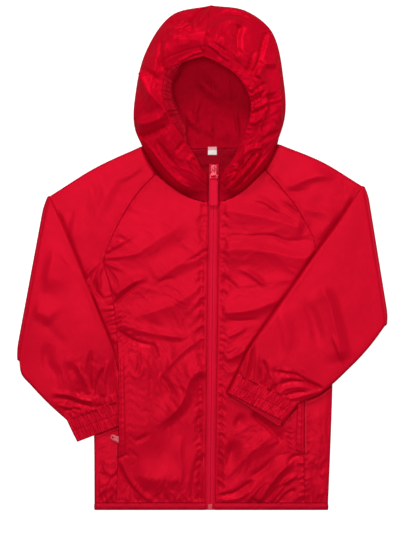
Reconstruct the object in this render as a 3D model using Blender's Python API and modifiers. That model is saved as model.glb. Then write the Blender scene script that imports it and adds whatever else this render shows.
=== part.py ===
"""Child's hooded windbreaker, zipped up and lying flat on its back.

The sleeves are folded over the front at their outer edges. The wearer's right cuff is tucked into
the side pocket, and the left cuff lies on the front. Frame: X to the wearer's left, Y towards the
hood, Z up. The origin is on the surface the garment lies on, under the middle of its outline.

Every cloth piece is an open sheet through seam lines shared with its neighbours, and a Solidify
modifier gives it its wall. Tables are in millimetres and meshes are in metres.
"""

from math import atan2, cos, pi, radians, sin
from typing import NamedTuple

import bmesh
import bpy
from mathutils import Vector

MM = 0.001

# Driving dimensions, in millimetres.
CLOTH_WALL = 1.0
BINDING_WALL = 1.8
CUFF_WALL = 1.2
SEAM_HALF_GAP = 0.2
UNDERARM_DROP = 1.2
SLEEVE_SEAM_INSET = 1.0
BACK_Z = 0.5
FRONT_Z = 5.0
FOREARM_LOW_Z = 8.5
FOREARM_HIGH_Z = 13.0
HEM_TOP_Y = -331.0
HEM_FRONT_Z = 5.3
HEM_BOTTOM_Y = -340.0
ZIP_HEM_X = 11.0
ZIP_NECK_X = 15.5
ZIP_NECK_Y = 75.0
ZIP_HALF_WIDTH = 7.5

# How finely each run of a seam is divided.
NECK_PARTS = 4
RAGLAN_PARTS = 6
SHORT_PARTS = 2
BODY_ROWS = 11
FOLD_PARTS = 4
ARM_ROWS = 4
WRAP_PARTS = 5
HEM_SIDE_PARTS = 5
HEM_TURN_PARTS = 6
HEM_BACK_PARTS = 6

RED = (0.60, 0.004, 0.024, 1.0)
DEEP_RED = (0.42, 0.003, 0.018, 1.0)
PALE_RED = (0.75, 0.05, 0.09, 1.0)
LABEL_WHITE = (0.85, 0.80, 0.80, 1.0)

# Seam lines of the body as it lies, from above: x, y. Each run goes outwards or downwards.
SEAMS = {
    "right": {
        "neckline": ((8.0, 75), (-16, 81), (-39, 94), (-63, 113)),
        "neck_side": ((-82, 151), (-74, 131), (-63, 113)),
        "neck_back": ((-82, 151), (-72, 151), (-62, 147)),
        "raglan": ((-63, 113), (-82, 94), (-100, 69), (-120, 32), (-134, -5)),
        "raglan_back": ((-62, 147), (-84, 118), (-106, 78), (-124, 36), (-134, -5)),
        "underarm": ((-134, -5), (-146, -18), (-151.5, -36)),
        "side_seam": ((-134, -5), (-122, -47), (-114, -116), (-112, -192), (-113, -266), (-117, -331)),
        "side_fold": ((-151.5, -36), (-149, -90), (-148, -165), (-146, -246), (-145.5, -331)),
        "arm_top": ((-82, 151), (-144, 121), (-202, 89)),
        "arm_under": ((-151.5, -36), (-184, -82), (-245, -137)),
    },
    "left": {
        "neckline": ((23.0, 75), (40, 81), (59, 93), (86, 119)),
        "neck_side": ((104, 154), (95, 135), (86, 119)),
        "neck_back": ((104, 154), (94, 153), (84, 149)),
        "raglan": ((86, 119), (112, 89), (128, 68), (150, 28), (156, -2)),
        "raglan_back": ((84, 149), (106, 120), (128, 80), (147, 38), (156, -2)),
        "underarm": ((156, -2), (168, -14), (178.5, -30)),
        "side_seam": ((156, -2), (146, -62), (139, -151), (138, -212), (138, -266), (139, -331)),
        "side_fold": ((178.5, -30), (178, -90), (176.5, -171), (174, -246), (170.5, -331)),
        "arm_top": ((104, 154), (160, 128), (213, 101)),
        "arm_under": ((178.5, -30), (204, -66), (244, -91)),
    },
}

BACK_NECK = ((-62, 147), (14, 148.5), (84, 149))

# The edge of the pocket opening stands up over the cuff tucked under it: y, lift of the panel's
# edge, height of the side panel that the cuff presses down.
POCKET_LIFT = (
    (-105, 0.0, 5.0),
    (-148, 5.0, 3.5),
    (-236, 5.0, 3.5),
    (-252, 3.9, 3.5),
    (-264, 1.8, 3.9),
    (-280, 0.0, 5.0),
)
LIFT_FLAT_TO_X = -84.0
LIFT_ENDS_AT_X = -44.0


class SleeveRow(NamedTuple):
    """One section across a folded-over forearm or a cuff, in millimetres."""

    top_x: float
    top_y: float
    under_x: float
    under_y: float
    low_z: float
    high_z: float
    lip: float = 0.0


CREASES = {
    "right": SleeveRow(-202.0, 82.0, -244.3, -140.0, FOREARM_LOW_Z, FOREARM_HIGH_Z),
    "left": SleeveRow(213.0, 95.0, 244.3, -90.0, FOREARM_LOW_Z, FOREARM_HIGH_Z),
}
FOREARMS = {
    "right": (
        SleeveRow(-182, 30, -243, -157, 8.5, 13.0),
        SleeveRow(-160, -24, -230, -172, 8.5, 13.0),
        SleeveRow(-139, -76, -216, -187, 8.4, 12.8),
        SleeveRow(-123, -116, -203, -200, 7.2, 11.4),
        SleeveRow(-113, -150, -191, -211, 5.4, 8.6),
        SleeveRow(-98, -189, -182, -219, 5.0, 7.8),
    ),
    "left": (
        SleeveRow(184, 48, 231, -113, 8.5, 13.0),
        SleeveRow(152, 4, 214, -133, 8.5, 13.0),
        SleeveRow(120, -42, 196, -151, 8.5, 13.4),
        SleeveRow(90, -84, 177, -169, 8.5, 13.8),
        SleeveRow(64, -122, 157, -184, 8.3, 13.6),
        SleeveRow(47, -158, 130, -196, 8.0, 12.4),
    ),
}
CUFFS = {
    "right": (
        SleeveRow(-98, -189, -182, -219, 5.0, 7.8),
        SleeveRow(-93, -204, -175, -234, 5.0, 7.9),
        SleeveRow(-89, -218, -168, -248, 5.0, 7.8),
    ),
    "left": (
        SleeveRow(47, -158, 130, -196, 8.0, 12.4),
        SleeveRow(41, -171, 119, -209, 7.9, 13.4, 3.0),
        SleeveRow(35, -182, 108, -219, 7.8, 14.0, 8.0),
    ),
}


class HoodStation(NamedTuple):
    """One line over the hood, from the rim of its mouth round to the neck seam: x, y, z places."""

    rim: tuple
    crest: tuple
    outline: tuple
    foot: tuple
    neck: tuple


# From the centre seam at the crown round to the zip.
HOODS = {
    "right": (
        HoodStation((1.7, 270, 52), (6, 303, 60), (11.7, 339.5, 24), (12.7, 322, 0.5), (13.7, 149.4, 0.5)),
        HoodStation((-22, 263, 50), (-31, 294, 58), (-41, 326, 24), (-34, 309, 0.5), (-14, 149.2, 0.5)),
        HoodStation((-46, 251, 47), (-60, 271, 54), (-76, 276, 23), (-66, 264, 0.5), (-38, 148.8, 0.5)),
        HoodStation((-53, 221, 44), (-70, 223, 48), (-90.5, 212, 20), (-80, 205, 0.5), (-61, 148.4, 0.5)),
        HoodStation((-42, 188, 38), (-64, 186, 41), (-89, 173, 15), (-85, 164, 5.0), (-79, 152.5, 2.7)),
        HoodStation((-24, 160, 30), (-44, 152, 34), (-72, 134, 17), (-71.2, 131, 10.0), (-70.5, 131, 5.2)),
        HoodStation((-10, 138, 21), (-25, 126, 26), (-51, 105, 14), (-50.2, 105, 9.0), (-49.8, 105, 5.2)),
        HoodStation((0, 120, 13), (-8, 107, 17), (-23, 87, 11), (-23.0, 86.5, 8.0), (-23.0, 86.5, 5.2)),
        HoodStation((8.0, 112, 6.2), (8.0, 102, 6.4), (8.0, 92, 6.0), (8.0, 84, 5.6), (8.0, 76.5, 5.2)),
    ),
    "left": (
        HoodStation((2.3, 270, 52), (6.6, 303, 60), (12.3, 339.5, 24), (13.3, 322, 0.5), (14.3, 149.4, 0.5)),
        HoodStation((24, 260, 51), (37, 291, 60), (59, 332.0, 24), (52, 313, 0.5), (38, 149.7, 0.5)),
        HoodStation((49, 242, 48), (68, 267, 55), (95, 302, 22), (85, 286, 0.5), (60, 149.9, 0.5)),
        HoodStation((65, 211, 43), (87, 226, 47), (109.8, 238, 20), (99, 230, 0.5), (82, 150.2, 0.5)),
        HoodStation((63, 184, 38), (85, 186, 41), (110.5, 188, 15), (106, 176, 5.0), (101, 154.8, 2.7)),
        HoodStation((53, 156, 30), (73, 150, 34), (95, 137, 17), (94.2, 135, 10.0), (93.3, 134.5, 5.2)),
        HoodStation((41, 133, 21), (56, 122, 26), (75.5, 109, 14), (75.0, 109, 9.0), (74.3, 109.0, 5.2)),
        HoodStation((30, 119, 13), (38, 106, 17), (49, 88, 11), (49.0, 88.0, 8.0), (49.0, 88.0, 5.2)),
        HoodStation((23.3, 112, 6.2), (23.3, 102, 6.4), (23.3, 92, 6.0), (23.2, 84, 5.6), (23.2, 76.5, 5.2)),
    ),
}
HOOD_STATION_PARTS = 3
HOOD_SPAN_PARTS = (2, 4, 3, 4)

# The front zip: places are across and along its line, from the height of the origin.
TAPE_LOW_Z = 3.2
TAPE_WALL = 0.8
TAPE_UNDERLAP = 3.0
TAPE_NECK_HALF_WIDTH = 6.5
TAPE_BOTTOM_Y = -339.4
TAPE_TOP_Y = 127.0
TAPE_HALF_GAP = 0.15
ZIP_OPENS_Y = 115.0
ZIP_OPEN_HALF_WIDTH = 2.4
COIL_WIDTH = 4.0
COIL_HEIGHT = 1.8
COIL_LOW_Z = 4.3
BOX_SIZE = (6.5, 7.0, 2.4)
SLIDER_Y = 120.5
SLIDER_PLATE = (9.5, 11.0, 1.2)
SLIDER_LOW_Z = 1.6
SLIDER_HIGH_Z = 6.5
POST_WIDTH = 2.6
POST_LENGTH = 3.0
POST_FROM_END = 0.6
ROUNDING = 0.4
JOIN_OVERLAP = 0.3
PART_GAP = 0.3


class Bridge(NamedTuple):
    """The arch on a slider that holds its pull, in millimetres."""

    length: float
    width: float
    eye: float
    wall: float


BRIDGE = Bridge(length=7.0, width=2.2, eye=1.9, wall=1.2)
PIVOT_AHEAD = 1.2
PIN_RADIUS = 0.6
LINK_WALL = 1.2
LINK_LENGTH = 14.5
LINK_TOP_WIDTH = 5.6
LINK_EYE_WIDTH = 3.0
LINK_EYE_LENGTH = 5.9
LINK_END_WIDTH = 10.8
LINK_FLARE_LENGTH = 5.0
LINK_CORNER = 0.6
LINK_SLOT_WIDTH = 7.6
LINK_SLOT_LENGTH = 2.6
LINK_BAR = 1.4
TAB_SIZE = (10.8, 34.0, 1.6)
TAB_FROM_BAR = 3.4
TAB_LOOP_WIDTH = 6.8
TAB_LOOP_HEIGHT = 3.6
TAB_LOOP_EYE = 2.4
TAB_LOOP_BACK = 2.6
TAB_EYE_BACK = 1.5
TAB_LOOP_OVERLAP = 1.6

# The pockets: places across and along the body.
WELT_TOP_Y = -140.0
WELT_LIFT = 1.3
WELT_END_Y = {"right": -269.0, "left": -265.0}
POCKET_ZIP_TOP_Y = {"right": -253.0, "left": -171.0}
POCKET_ZIP_END_Y = {"right": -268.0, "left": -264.0}
POCKET_ZIP_WIDTH = 2.4
POCKET_ZIP_OUT = 1.2
POCKET_ZIP_LIFT = 1.7
POCKET_ZIP_PARTS = 3
POCKET_SLIDER = (7.0, 8.0, 1.4)
POCKET_SLIDER_PLACE = {"right": (-106.5, -248.0, 5.0), "left": (143.8, -150.0, 6.6)}
POCKET_BRIDGE = Bridge(length=6.0, width=1.6, eye=1.3, wall=0.7)
FLAT_PULL = (4.0, 18.0, 0.9)
FLAT_PULL_OVERLAP = 2.0
PULL_WALL = 0.9
PULL_REACH = 15.0
PULL_END_RADIUS = 3.4
PULL_BASE_WIDTH = 4.4
PULL_WIDEST = 8.6
PULL_WIDEST_AT = 6.0
PULL_EYE_WIDTH = 2.6
PULL_EYE_PAST_BRIDGE = 1.0
PULL_HOLE_RADIUS = 1.5
PULL_HEADING = 157.0

LABEL_SIZE = (12.0, 11.0, 0.8)
LABEL_CENTRE = (14.0, 143.0, 1.8)


def smooth_run(points: tuple, parts: int) -> list:
    """Evenly spaced places along a smooth curve through a few points.

    Args:
        points: The curve's own points, two or three numbers each.
        parts: How many equal parts the curve is divided into.

    Returns:
        parts + 1 vectors, the first and last at the curve's ends.
    """
    knots = [Vector((*point, 0.0)[:3]) for point in points]
    chords = [(b - a).length for a, b in zip(knots, knots[1:])]
    tangents = []
    for index in range(len(knots)):
        low = max(index - 1, 0)
        high = min(index + 1, len(knots) - 1)
        tangents.append((knots[high] - knots[low]) / sum(chords[low:high]))
    fine = [knots[0]]
    steps = 24
    for index, chord in enumerate(chords):
        for step in range(1, steps + 1):
            t = step / steps
            fine.append(
                knots[index] * (2 * t**3 - 3 * t**2 + 1)
                + tangents[index] * chord * (t**3 - 2 * t**2 + t)
                + knots[index + 1] * (3 * t**2 - 2 * t**3)
                + tangents[index + 1] * chord * (t**3 - t**2)
            )
    lengths = [0.0]
    for a, b in zip(fine, fine[1:]):
        lengths.append(lengths[-1] + (b - a).length)
    run = []
    place = 0
    for part in range(parts + 1):
        wanted = lengths[-1] * part / parts
        while place < len(lengths) - 2 and lengths[place + 1] < wanted:
            place += 1
        share = (wanted - lengths[place]) / (lengths[place + 1] - lengths[place])
        run.append(fine[place].lerp(fine[place + 1], min(max(share, 0.0), 1.0)))
    return run


def joined(*runs: list) -> list:
    """One run of points from several that meet end to end."""
    whole = list(runs[0])
    for run in runs[1:]:
        whole += run[1:]
    return whole


def between(top: list, bottom: list, first: list, last: list) -> list:
    """A grid of points that fills the space between four edges.

    Args:
        top: The first row, from the first column to the last.
        bottom: The last row, in the same direction.
        first: The first column, from the top row to the bottom row.
        last: The last column, in the same direction.

    Returns:
        Rows of points, from top to bottom.
    """
    rows = []
    across = len(top) - 1
    down = len(first) - 1
    for j in range(down + 1):
        v = j / down
        row = []
        for i in range(across + 1):
            u = i / across
            corners = (top[0] * (1 - u) + top[-1] * u) * (1 - v) + (bottom[0] * (1 - u) + bottom[-1] * u) * v
            row.append(top[i] * (1 - v) + bottom[i] * v + first[j] * (1 - u) + last[j] * u - corners)
        rows.append(row)
    return rows


def ramp(value: float, start: float, end: float) -> float:
    """A smooth step from 0 at start to 1 at end."""
    t = min(max((value - start) / (end - start), 0.0), 1.0)
    return t * t * (3 - 2 * t)


def pocket_heights(y: float) -> tuple:
    """The lift of the right front's edge and the height of the side panel, at one place along it."""
    above = POCKET_LIFT[0]
    for row in POCKET_LIFT[1:]:
        if y >= row[0]:
            share = ramp(y, above[0], row[0])
            return tuple(a + (b - a) * share for a, b in zip(above[1:], row[1:]))
        above = row
    return above[1:]


def front_z(side: str, x: float, y: float) -> float:
    """The height of a front panel, which the tucked-in cuff lifts on the right."""
    if side == "left":
        return FRONT_Z
    lift = pocket_heights(y)[0] * (1 - ramp(x, LIFT_FLAT_TO_X, LIFT_ENDS_AT_X))
    return FRONT_Z + lift


def side_z(side: str, y: float) -> float:
    """The height of the side panel's upper layer."""
    if side == "left":
        return FRONT_Z
    return pocket_heights(y)[1]


def trimmed(rows: list, edges: str) -> list:
    """The same sheet with some of its edges drawn in by half a seam gap.

    Args:
        rows: The rows of the sheet's points.
        edges: Which edges: any of t, b, f and l for the top, bottom, first and last.

    Returns:
        New rows.
    """
    rows = [[point.copy() for point in row] for row in rows]
    if "t" in edges:
        rows[0] = [a + (b - a).normalized() * SEAM_HALF_GAP for a, b in zip(rows[0], rows[1])]
    if "b" in edges:
        rows[-1] = [a + (b - a).normalized() * SEAM_HALF_GAP for a, b in zip(rows[-1], rows[-2])]
    for row in rows:
        if "f" in edges:
            row[0] = row[0] + (row[1] - row[0]).normalized() * SEAM_HALF_GAP
        if "l" in edges:
            row[-1] = row[-1] + (row[-2] - row[-1]).normalized() * SEAM_HALF_GAP
    return rows


def make_material(name: str, colour: tuple, roughness: float, metallic: float = 0.0) -> bpy.types.Material:
    """A Principled material of one plain colour."""
    material = bpy.data.materials.new(name)
    material.use_nodes = True
    shader = material.node_tree.nodes["Principled BSDF"]
    shader.inputs["Base Color"].default_value = colour
    shader.inputs["Roughness"].default_value = roughness
    shader.inputs["Metallic"].default_value = metallic
    return material


def add_to_garment(item: bpy.types.Object, material: bpy.types.Material | None = None) -> bpy.types.Object:
    """Puts an object in the garment's collection and gives it its material."""
    for collection in list(item.users_collection):
        collection.objects.unlink(item)
    bpy.data.collections["windbreaker"].objects.link(item)
    if material is not None:
        item.data.materials.clear()
        item.data.materials.append(material)
    return item


def add_sheet(name: str, rows: list, wall: float, colour: tuple, closed: bool = False) -> bpy.types.Object:
    """A cloth piece: a grid of points as a sheet, with its wall added evenly on both faces.

    Args:
        name: The piece's name.
        rows: Rows of points in millimetres.
        wall: The cloth's thickness in millimetres.
        colour: The cloth's colour.
        closed: Whether each row runs round to its own start, as on a sleeve.

    Returns:
        The new object.
    """
    work = bmesh.new()
    grid = [[work.verts.new(point * MM) for point in row] for row in rows]
    columns = len(grid[0]) if closed else len(grid[0]) - 1
    for upper, lower in zip(grid, grid[1:]):
        for i in range(columns):
            j = (i + 1) % len(upper)
            work.faces.new((upper[i], lower[i], lower[j], upper[j]))
    mesh = bpy.data.meshes.new(name)
    work.to_mesh(mesh)
    work.free()
    mesh.shade_smooth()
    piece = add_to_garment(bpy.data.objects.new(name, mesh), make_material(name, colour, 0.45))
    thicken = piece.modifiers.new("wall", "SOLIDIFY")
    thicken.thickness = wall * MM
    thicken.offset = 0.0
    return piece


def seam(side: str, name: str, parts: int) -> list:
    """One seam of the flat garment, divided evenly."""
    return smooth_run(SEAMS[side][name], parts)


def zip_edge(side: str) -> list:
    """The long edge of a front beside the zip, from the neck down."""
    offset = -ZIP_HALF_WIDTH if side == "right" else ZIP_HALF_WIDTH
    return smooth_run(((ZIP_NECK_X + offset, ZIP_NECK_Y), (ZIP_HEM_X + offset, HEM_TOP_Y)), BODY_ROWS)


def front_rows(side: str) -> list:
    """The points of one front, columns from the zip out to the side seam."""
    zip_side = zip_edge(side)
    top = joined(seam(side, "neckline", NECK_PARTS), seam(side, "raglan", RAGLAN_PARTS))
    out = seam(side, "side_seam", BODY_ROWS)
    bottom = [zip_side[-1].lerp(out[-1], i / (len(top) - 1)) for i in range(len(top))]
    rows = between(top, bottom, zip_side, out)
    for row in rows:
        for point in row:
            point.z = front_z(side, point.x, point.y)
    return rows


def add_fronts() -> None:
    """The two fronts, from the zip to the side seams."""
    for side in ("right", "left"):
        add_sheet(f"front_{side}", trimmed(front_rows(side), "tbl"), CLOTH_WALL, RED)


def add_back() -> None:
    """The back, flat on the surface between the two side seams."""
    right = seam("right", "side_seam", BODY_ROWS)
    left = seam("left", "side_seam", BODY_ROWS)
    neck = smooth_run(BACK_NECK, RAGLAN_PARTS)
    top = joined(
        seam("right", "raglan_back", RAGLAN_PARTS)[::-1], neck, seam("left", "raglan_back", RAGLAN_PARTS)
    )
    bottom = [right[-1].lerp(left[-1], i / (len(top) - 1)) for i in range(len(top))]
    rows = between(top, bottom, right, left)
    for row in rows:
        for point in row:
            point.z = BACK_Z
    add_sheet("back_panel", trimmed(rows, "tbfl"), CLOTH_WALL, RED)


def side_rows(side: str) -> list:
    """The points of one side panel, columns from its front seam round the fold to its back seam."""
    out = -1.0 if side == "right" else 1.0
    front_seam = seam(side, "side_seam", BODY_ROWS)
    fold = seam(side, "side_fold", BODY_ROWS)
    top = seam(side, "underarm", SHORT_PARTS)
    for point in fold:
        point.x -= out * ((side_z(side, point.y) - BACK_Z) / 2 + CLOTH_WALL / 2)
    top[-1] = fold[0].copy()
    bottom = [front_seam[-1].lerp(fold[-1], i / SHORT_PARTS) for i in range(SHORT_PARTS + 1)]
    rows = []
    for j, row in enumerate(between(top, bottom, front_seam, fold)):
        upper = [Vector((point.x, point.y, side_z(side, point.y))) for point in row]
        lower = [Vector((point.x, point.y, BACK_Z)) for point in reversed(row)]
        middle = (upper[-1] + lower[0]) / 2
        radius = (upper[-1].z - BACK_Z) / 2
        bulge = 0.3 * radius if j == 0 else radius
        for part in range(1, FOLD_PARTS):
            angle = pi * part / FOLD_PARTS
            upper.append(middle + Vector((out * bulge * sin(angle), 0.0, radius * cos(angle))))
        rows.append(upper + lower)
    return rows


def add_side_panels() -> None:
    """The two side panels, each folded round the side of the body."""
    for side in ("right", "left"):
        rows = side_rows(side)
        rows[0] = [point + Vector((0.0, -UNDERARM_DROP, 0.0)) for point in rows[0]]
        add_sheet(f"side_panel_{side}", trimmed(rows, "tbfl"), CLOTH_WALL, RED)


def tube_ring(low: list, high: list) -> list:
    """Closes two layers of a flattened tube with a round fold at each edge.

    Args:
        low: The points of one layer, from the tube's top edge to its under edge.
        high: The points of the other layer, in the same order.

    Returns:
        The ring's points, down one layer and back along the other.
    """
    ring = list(low)
    for a, b, before in ((low[-1], high[-1], low[-2]), (high[0], low[0], high[1])):
        if a is high[0]:
            ring += high[::-1]
        middle = (a + b) / 2
        arm = a - middle
        out = (a - before).normalized() * arm.length
        for part in range(1, FOLD_PARTS):
            angle = pi * part / FOLD_PARTS
            ring.append(middle + arm * cos(angle) + out * sin(angle))
    return ring


def drawn_in(layer: list, inset: float) -> list:
    """A layer with its two ends drawn in, to leave room for the folds at a tube's edges."""
    layer = [point.copy() for point in layer]
    layer[0] += (layer[1] - layer[0]).normalized() * inset
    layer[-1] += (layer[-2] - layer[-1]).normalized() * inset
    return layer


def section(row: SleeveRow, parts: int) -> list:
    """The ring of points of one forearm or cuff section."""
    top = Vector((row.top_x, row.top_y, 0.0))
    under = Vector((row.under_x, row.under_y, 0.0))
    across = (under - top).normalized()
    along = Vector((across.y, -across.x, 0.0)) * row.lip
    if along.y > 0.0:
        along.negate()
    layer = drawn_in([top.lerp(under, i / parts) for i in range(parts + 1)], (row.high_z - row.low_z) / 2)
    low = [point + along + Vector((0.0, 0.0, row.low_z)) for point in layer]
    high = [point + Vector((0.0, 0.0, row.high_z)) for point in layer]
    return tube_ring(low, high)


def upper_arm_rings(side: str) -> list:
    """The rings of the part of a sleeve that lies on the surface, from the raglan seam out."""
    crease_row = CREASES[side]
    crease_top = Vector((crease_row.top_x, crease_row.top_y, 0.0))
    crease_end = Vector((crease_row.under_x, crease_row.under_y, 0.0))
    arm_top = smooth_run((*SEAMS[side]["arm_top"][:-1], crease_top[:2]), ARM_ROWS)
    arm_under = smooth_run((*SEAMS[side]["arm_under"][:-1], crease_end[:2]), ARM_ROWS)
    layers = []
    for neck, raglan, height in (("neck_side", "raglan", FRONT_Z), ("neck_back", "raglan_back", BACK_Z)):
        start = joined(
            seam(side, neck, SHORT_PARTS), seam(side, raglan, RAGLAN_PARTS), seam(side, "underarm", SHORT_PARTS)
        )
        parts = len(start) - 1
        crease = [crease_top.lerp(crease_end, i / parts) for i in range(parts + 1)]
        rows = between(start, crease, arm_top, arm_under)
        for row in rows:
            for point in row:
                point.z = height
        rows[0] = [a + (b - a).normalized() * SEAM_HALF_GAP for a, b in zip(rows[0], rows[1])]
        layers.append(rows)
    inset = (FRONT_Z - BACK_Z) / 2
    rings = []
    for j, (front, back) in enumerate(zip(*layers)):
        end_inset = inset + (SLEEVE_SEAM_INSET if j == 0 else 0.0)
        rings.append(tube_ring(drawn_in(front, end_inset), drawn_in(back, end_inset)))
    return rings


def wrap_rings(side: str, parts: int) -> list:
    """The rings where a sleeve turns back over itself at its outer fold."""
    crease = CREASES[side]
    top = Vector((crease.top_x, crease.top_y, 0.0))
    under = Vector((crease.under_x, crease.under_y, 0.0))
    along = (under - top).normalized()
    out = Vector((along.y, -along.x, 0.0))
    if out.x * top.x < 0.0:
        out.negate()
    pivot_z = (FRONT_Z + FOREARM_LOW_Z) / 2
    layer = drawn_in([top.lerp(under, i / parts) for i in range(parts + 1)], (FRONT_Z - BACK_Z) / 2)
    rings = []
    for step in range(1, WRAP_PARTS + 1):
        angle = pi * step / WRAP_PARTS
        sides = []
        for reach in (pivot_z - FRONT_Z, pivot_z - BACK_Z):
            shift = out * reach * sin(angle) + Vector((0.0, 0.0, pivot_z - reach * cos(angle)))
            sides.append([point + shift for point in layer])
        rings.append(tube_ring(*sides))
    return rings


def add_sleeves() -> None:
    """The two raglan sleeves, each one tube from its seam round the fold to its cuff."""
    parts = 2 * SHORT_PARTS + RAGLAN_PARTS
    for side in ("right", "left"):
        rings = upper_arm_rings(side) + wrap_rings(side, parts)
        rings += [section(row, parts) for row in FOREARMS[side]]
        add_sheet(f"sleeve_{side}", rings, CLOTH_WALL, RED, closed=True)
        cuff = [section(row, parts) for row in CUFFS[side]]
        cuff[0] = [a + (b - a).normalized() * 3 * SEAM_HALF_GAP for a, b in zip(cuff[0], cuff[1])]
        add_sheet(f"cuff_{side}", cuff, CUFF_WALL, RED, closed=True)


def hood_rows(side: str) -> list:
    """The points of one half of the hood, rows from the centre seam round to the zip."""
    stations = HOODS[side]
    rows = []
    for index in range(HOOD_STATION_PARTS * (len(stations) - 1) + 1):
        share = index / HOOD_STATION_PARTS
        low = min(int(share), len(stations) - 2)
        rows.append(hood_row(stations, low, share - low))
    return rows


def hood_row(stations: tuple, low: int, share: float) -> list:
    """One row of the hood, some way from one station to the next, divided between its places."""
    knots = []
    for place in HoodStation._fields:
        four = [
            Vector(getattr(stations[min(max(low + k, 0), len(stations) - 1)], place)) for k in (-1, 0, 1, 2)
        ]
        knots.append(catmull(*four, share))
    row = [knots[0]]
    for index, parts in enumerate(HOOD_SPAN_PARTS):
        four = [knots[min(max(index + k, 0), len(knots) - 1)] for k in (-1, 0, 1, 2)]
        for part in range(1, parts + 1):
            point = catmull(*four, part / parts)
            point.z = max(point.z, BACK_Z)
            row.append(point)
    return row


def catmull(before: Vector, start: Vector, end: Vector, after: Vector, t: float) -> Vector:
    """A place between two points on a smooth curve whose tangents allow for uneven spacing."""
    gap = max((end - start).length, 1e-6)
    first = (end - before) / max((start - before).length + gap, 1e-6)
    last = (after - start) / max((after - end).length + gap, 1e-6)
    return (
        start * (2 * t**3 - 3 * t**2 + 1)
        + first * gap * (t**3 - 2 * t**2 + t)
        + end * (3 * t**2 - 2 * t**3)
        + last * gap * (t**3 - t**2)
    )


def add_hood() -> None:
    """The two halves of the hood, joined at the centre seam over the crown."""
    for side in ("right", "left"):
        add_sheet(f"hood_{side}", hood_rows(side), CLOTH_WALL, RED)


def add_hem_band() -> None:
    """The elastic binding round the hem, open at the zip."""
    low_z = BINDING_WALL / 2
    radius = (HEM_FRONT_Z - low_z) / 2
    middle_z = (HEM_FRONT_Z + low_z) / 2
    halves = []
    for side, out in (("right", -1.0), ("left", 1.0)):
        fold_x = SEAMS[side]["side_fold"][-1][0] - out * (radius + BINDING_WALL / 2)
        zip_x = ZIP_HEM_X + out * ZIP_HALF_WIDTH
        half = []
        for part in range(HEM_SIDE_PARTS + 1):
            half.append(Vector((zip_x + (fold_x - zip_x) * part / HEM_SIDE_PARTS, 0.0, HEM_FRONT_Z)))
        for part in range(1, HEM_TURN_PARTS + 1):
            angle = pi * part / HEM_TURN_PARTS
            half.append(Vector((fold_x + out * radius * sin(angle), 0.0, middle_z + radius * cos(angle))))
        halves.append(half)
    start, end = halves[0], halves[1][::-1]
    across = [start[-1].lerp(end[0], part / HEM_BACK_PARTS) for part in range(1, HEM_BACK_PARTS)]
    ring = start + across + end
    rows = [[point + Vector((0.0, y, 0.0)) for point in ring] for y in (HEM_TOP_Y - SEAM_HALF_GAP, HEM_BOTTOM_Y)]
    add_sheet("hem_band", rows, BINDING_WALL, RED)


def add_plate(name: str, outline: list, height: float, colour: tuple, holes: tuple = ()) -> bpy.types.Object:
    """A flat piece: an outline with any holes, given its thickness evenly on both faces.

    Args:
        name: The piece's name.
        outline: Corner places in millimetres.
        height: The piece's thickness in millimetres.
        colour: The piece's colour.
        holes: Outlines of openings through it.

    Returns:
        The new mesh object.
    """
    curve = bpy.data.curves.new(name, "CURVE")
    curve.dimensions = "2D"
    curve.fill_mode = "BOTH"
    curve.extrude = height / 2 * MM
    for corners in (outline, *holes):
        spline = curve.splines.new("POLY")
        spline.points.add(len(corners) - 1)
        spline.use_cyclic_u = True
        for point, (x, y) in zip(spline.points, corners):
            point.co = (x * MM, y * MM, 0.0, 1.0)
    source = bpy.data.objects.new(name + "_outline", curve)
    bpy.context.scene.collection.objects.link(source)
    mesh = bpy.data.meshes.new_from_object(source.evaluated_get(bpy.context.evaluated_depsgraph_get()))
    bpy.data.objects.remove(source)
    bpy.data.curves.remove(curve)
    work = bmesh.new()
    work.from_mesh(mesh)
    bmesh.ops.remove_doubles(work, verts=work.verts, dist=1e-6)
    bmesh.ops.recalc_face_normals(work, faces=work.faces)
    work.to_mesh(mesh)
    work.free()
    mesh.name = name
    return add_to_garment(bpy.data.objects.new(name, mesh), make_material(name, colour, 0.4))


def arc(centre: tuple, radius: float, start: float, end: float, parts: int) -> list:
    """Places along an arc, with its angles in degrees."""
    places = []
    for part in range(parts + 1):
        angle = radians(start + (end - start) * part / parts)
        places.append((centre[0] + radius * cos(angle), centre[1] + radius * sin(angle)))
    return places


def add_box(name: str, size: tuple, centre: tuple, colour: tuple, rounding: float = 0.0) -> bpy.types.Object:
    """A block in millimetres, its edges rounded by a Bevel."""
    bpy.ops.mesh.primitive_cube_add(size=1.0)
    box = bpy.context.object
    box.name = name
    box.data.transform(box.matrix_world.Diagonal((*(s * MM for s in size), 1.0)))
    box.location = [c * MM for c in centre]
    if rounding > 0.0:
        bevel = box.modifiers.new("rounding", "BEVEL")
        bevel.width = rounding * MM
        bevel.segments = 2
    return add_to_garment(box, make_material(name, colour, 0.35))


def unite(target: bpy.types.Object, pieces: list) -> None:
    """Joins pieces to a target with exact Booleans, and removes them."""
    bpy.context.view_layer.update()
    for piece in pieces:
        union = target.modifiers.new("join", "BOOLEAN")
        union.operation = "UNION"
        union.solver = "EXACT"
        union.object = piece
    mesh = bpy.data.meshes.new_from_object(target.evaluated_get(bpy.context.evaluated_depsgraph_get()))
    target.modifiers.clear()
    target.data = mesh
    for piece in pieces:
        bpy.data.objects.remove(piece)


def zip_line() -> bpy.types.Object:
    """An empty on the zip's line, level with the origin, whose Y axis runs along the zip."""
    line = add_to_garment(bpy.data.objects.new("zip_line", None))
    rise = ZIP_NECK_Y - HEM_TOP_Y
    run = ZIP_NECK_X - ZIP_HEM_X
    line.location.x = (ZIP_HEM_X - run * HEM_TOP_Y / rise) * MM
    line.rotation_euler.z = -atan2(run, rise)
    return line


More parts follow.
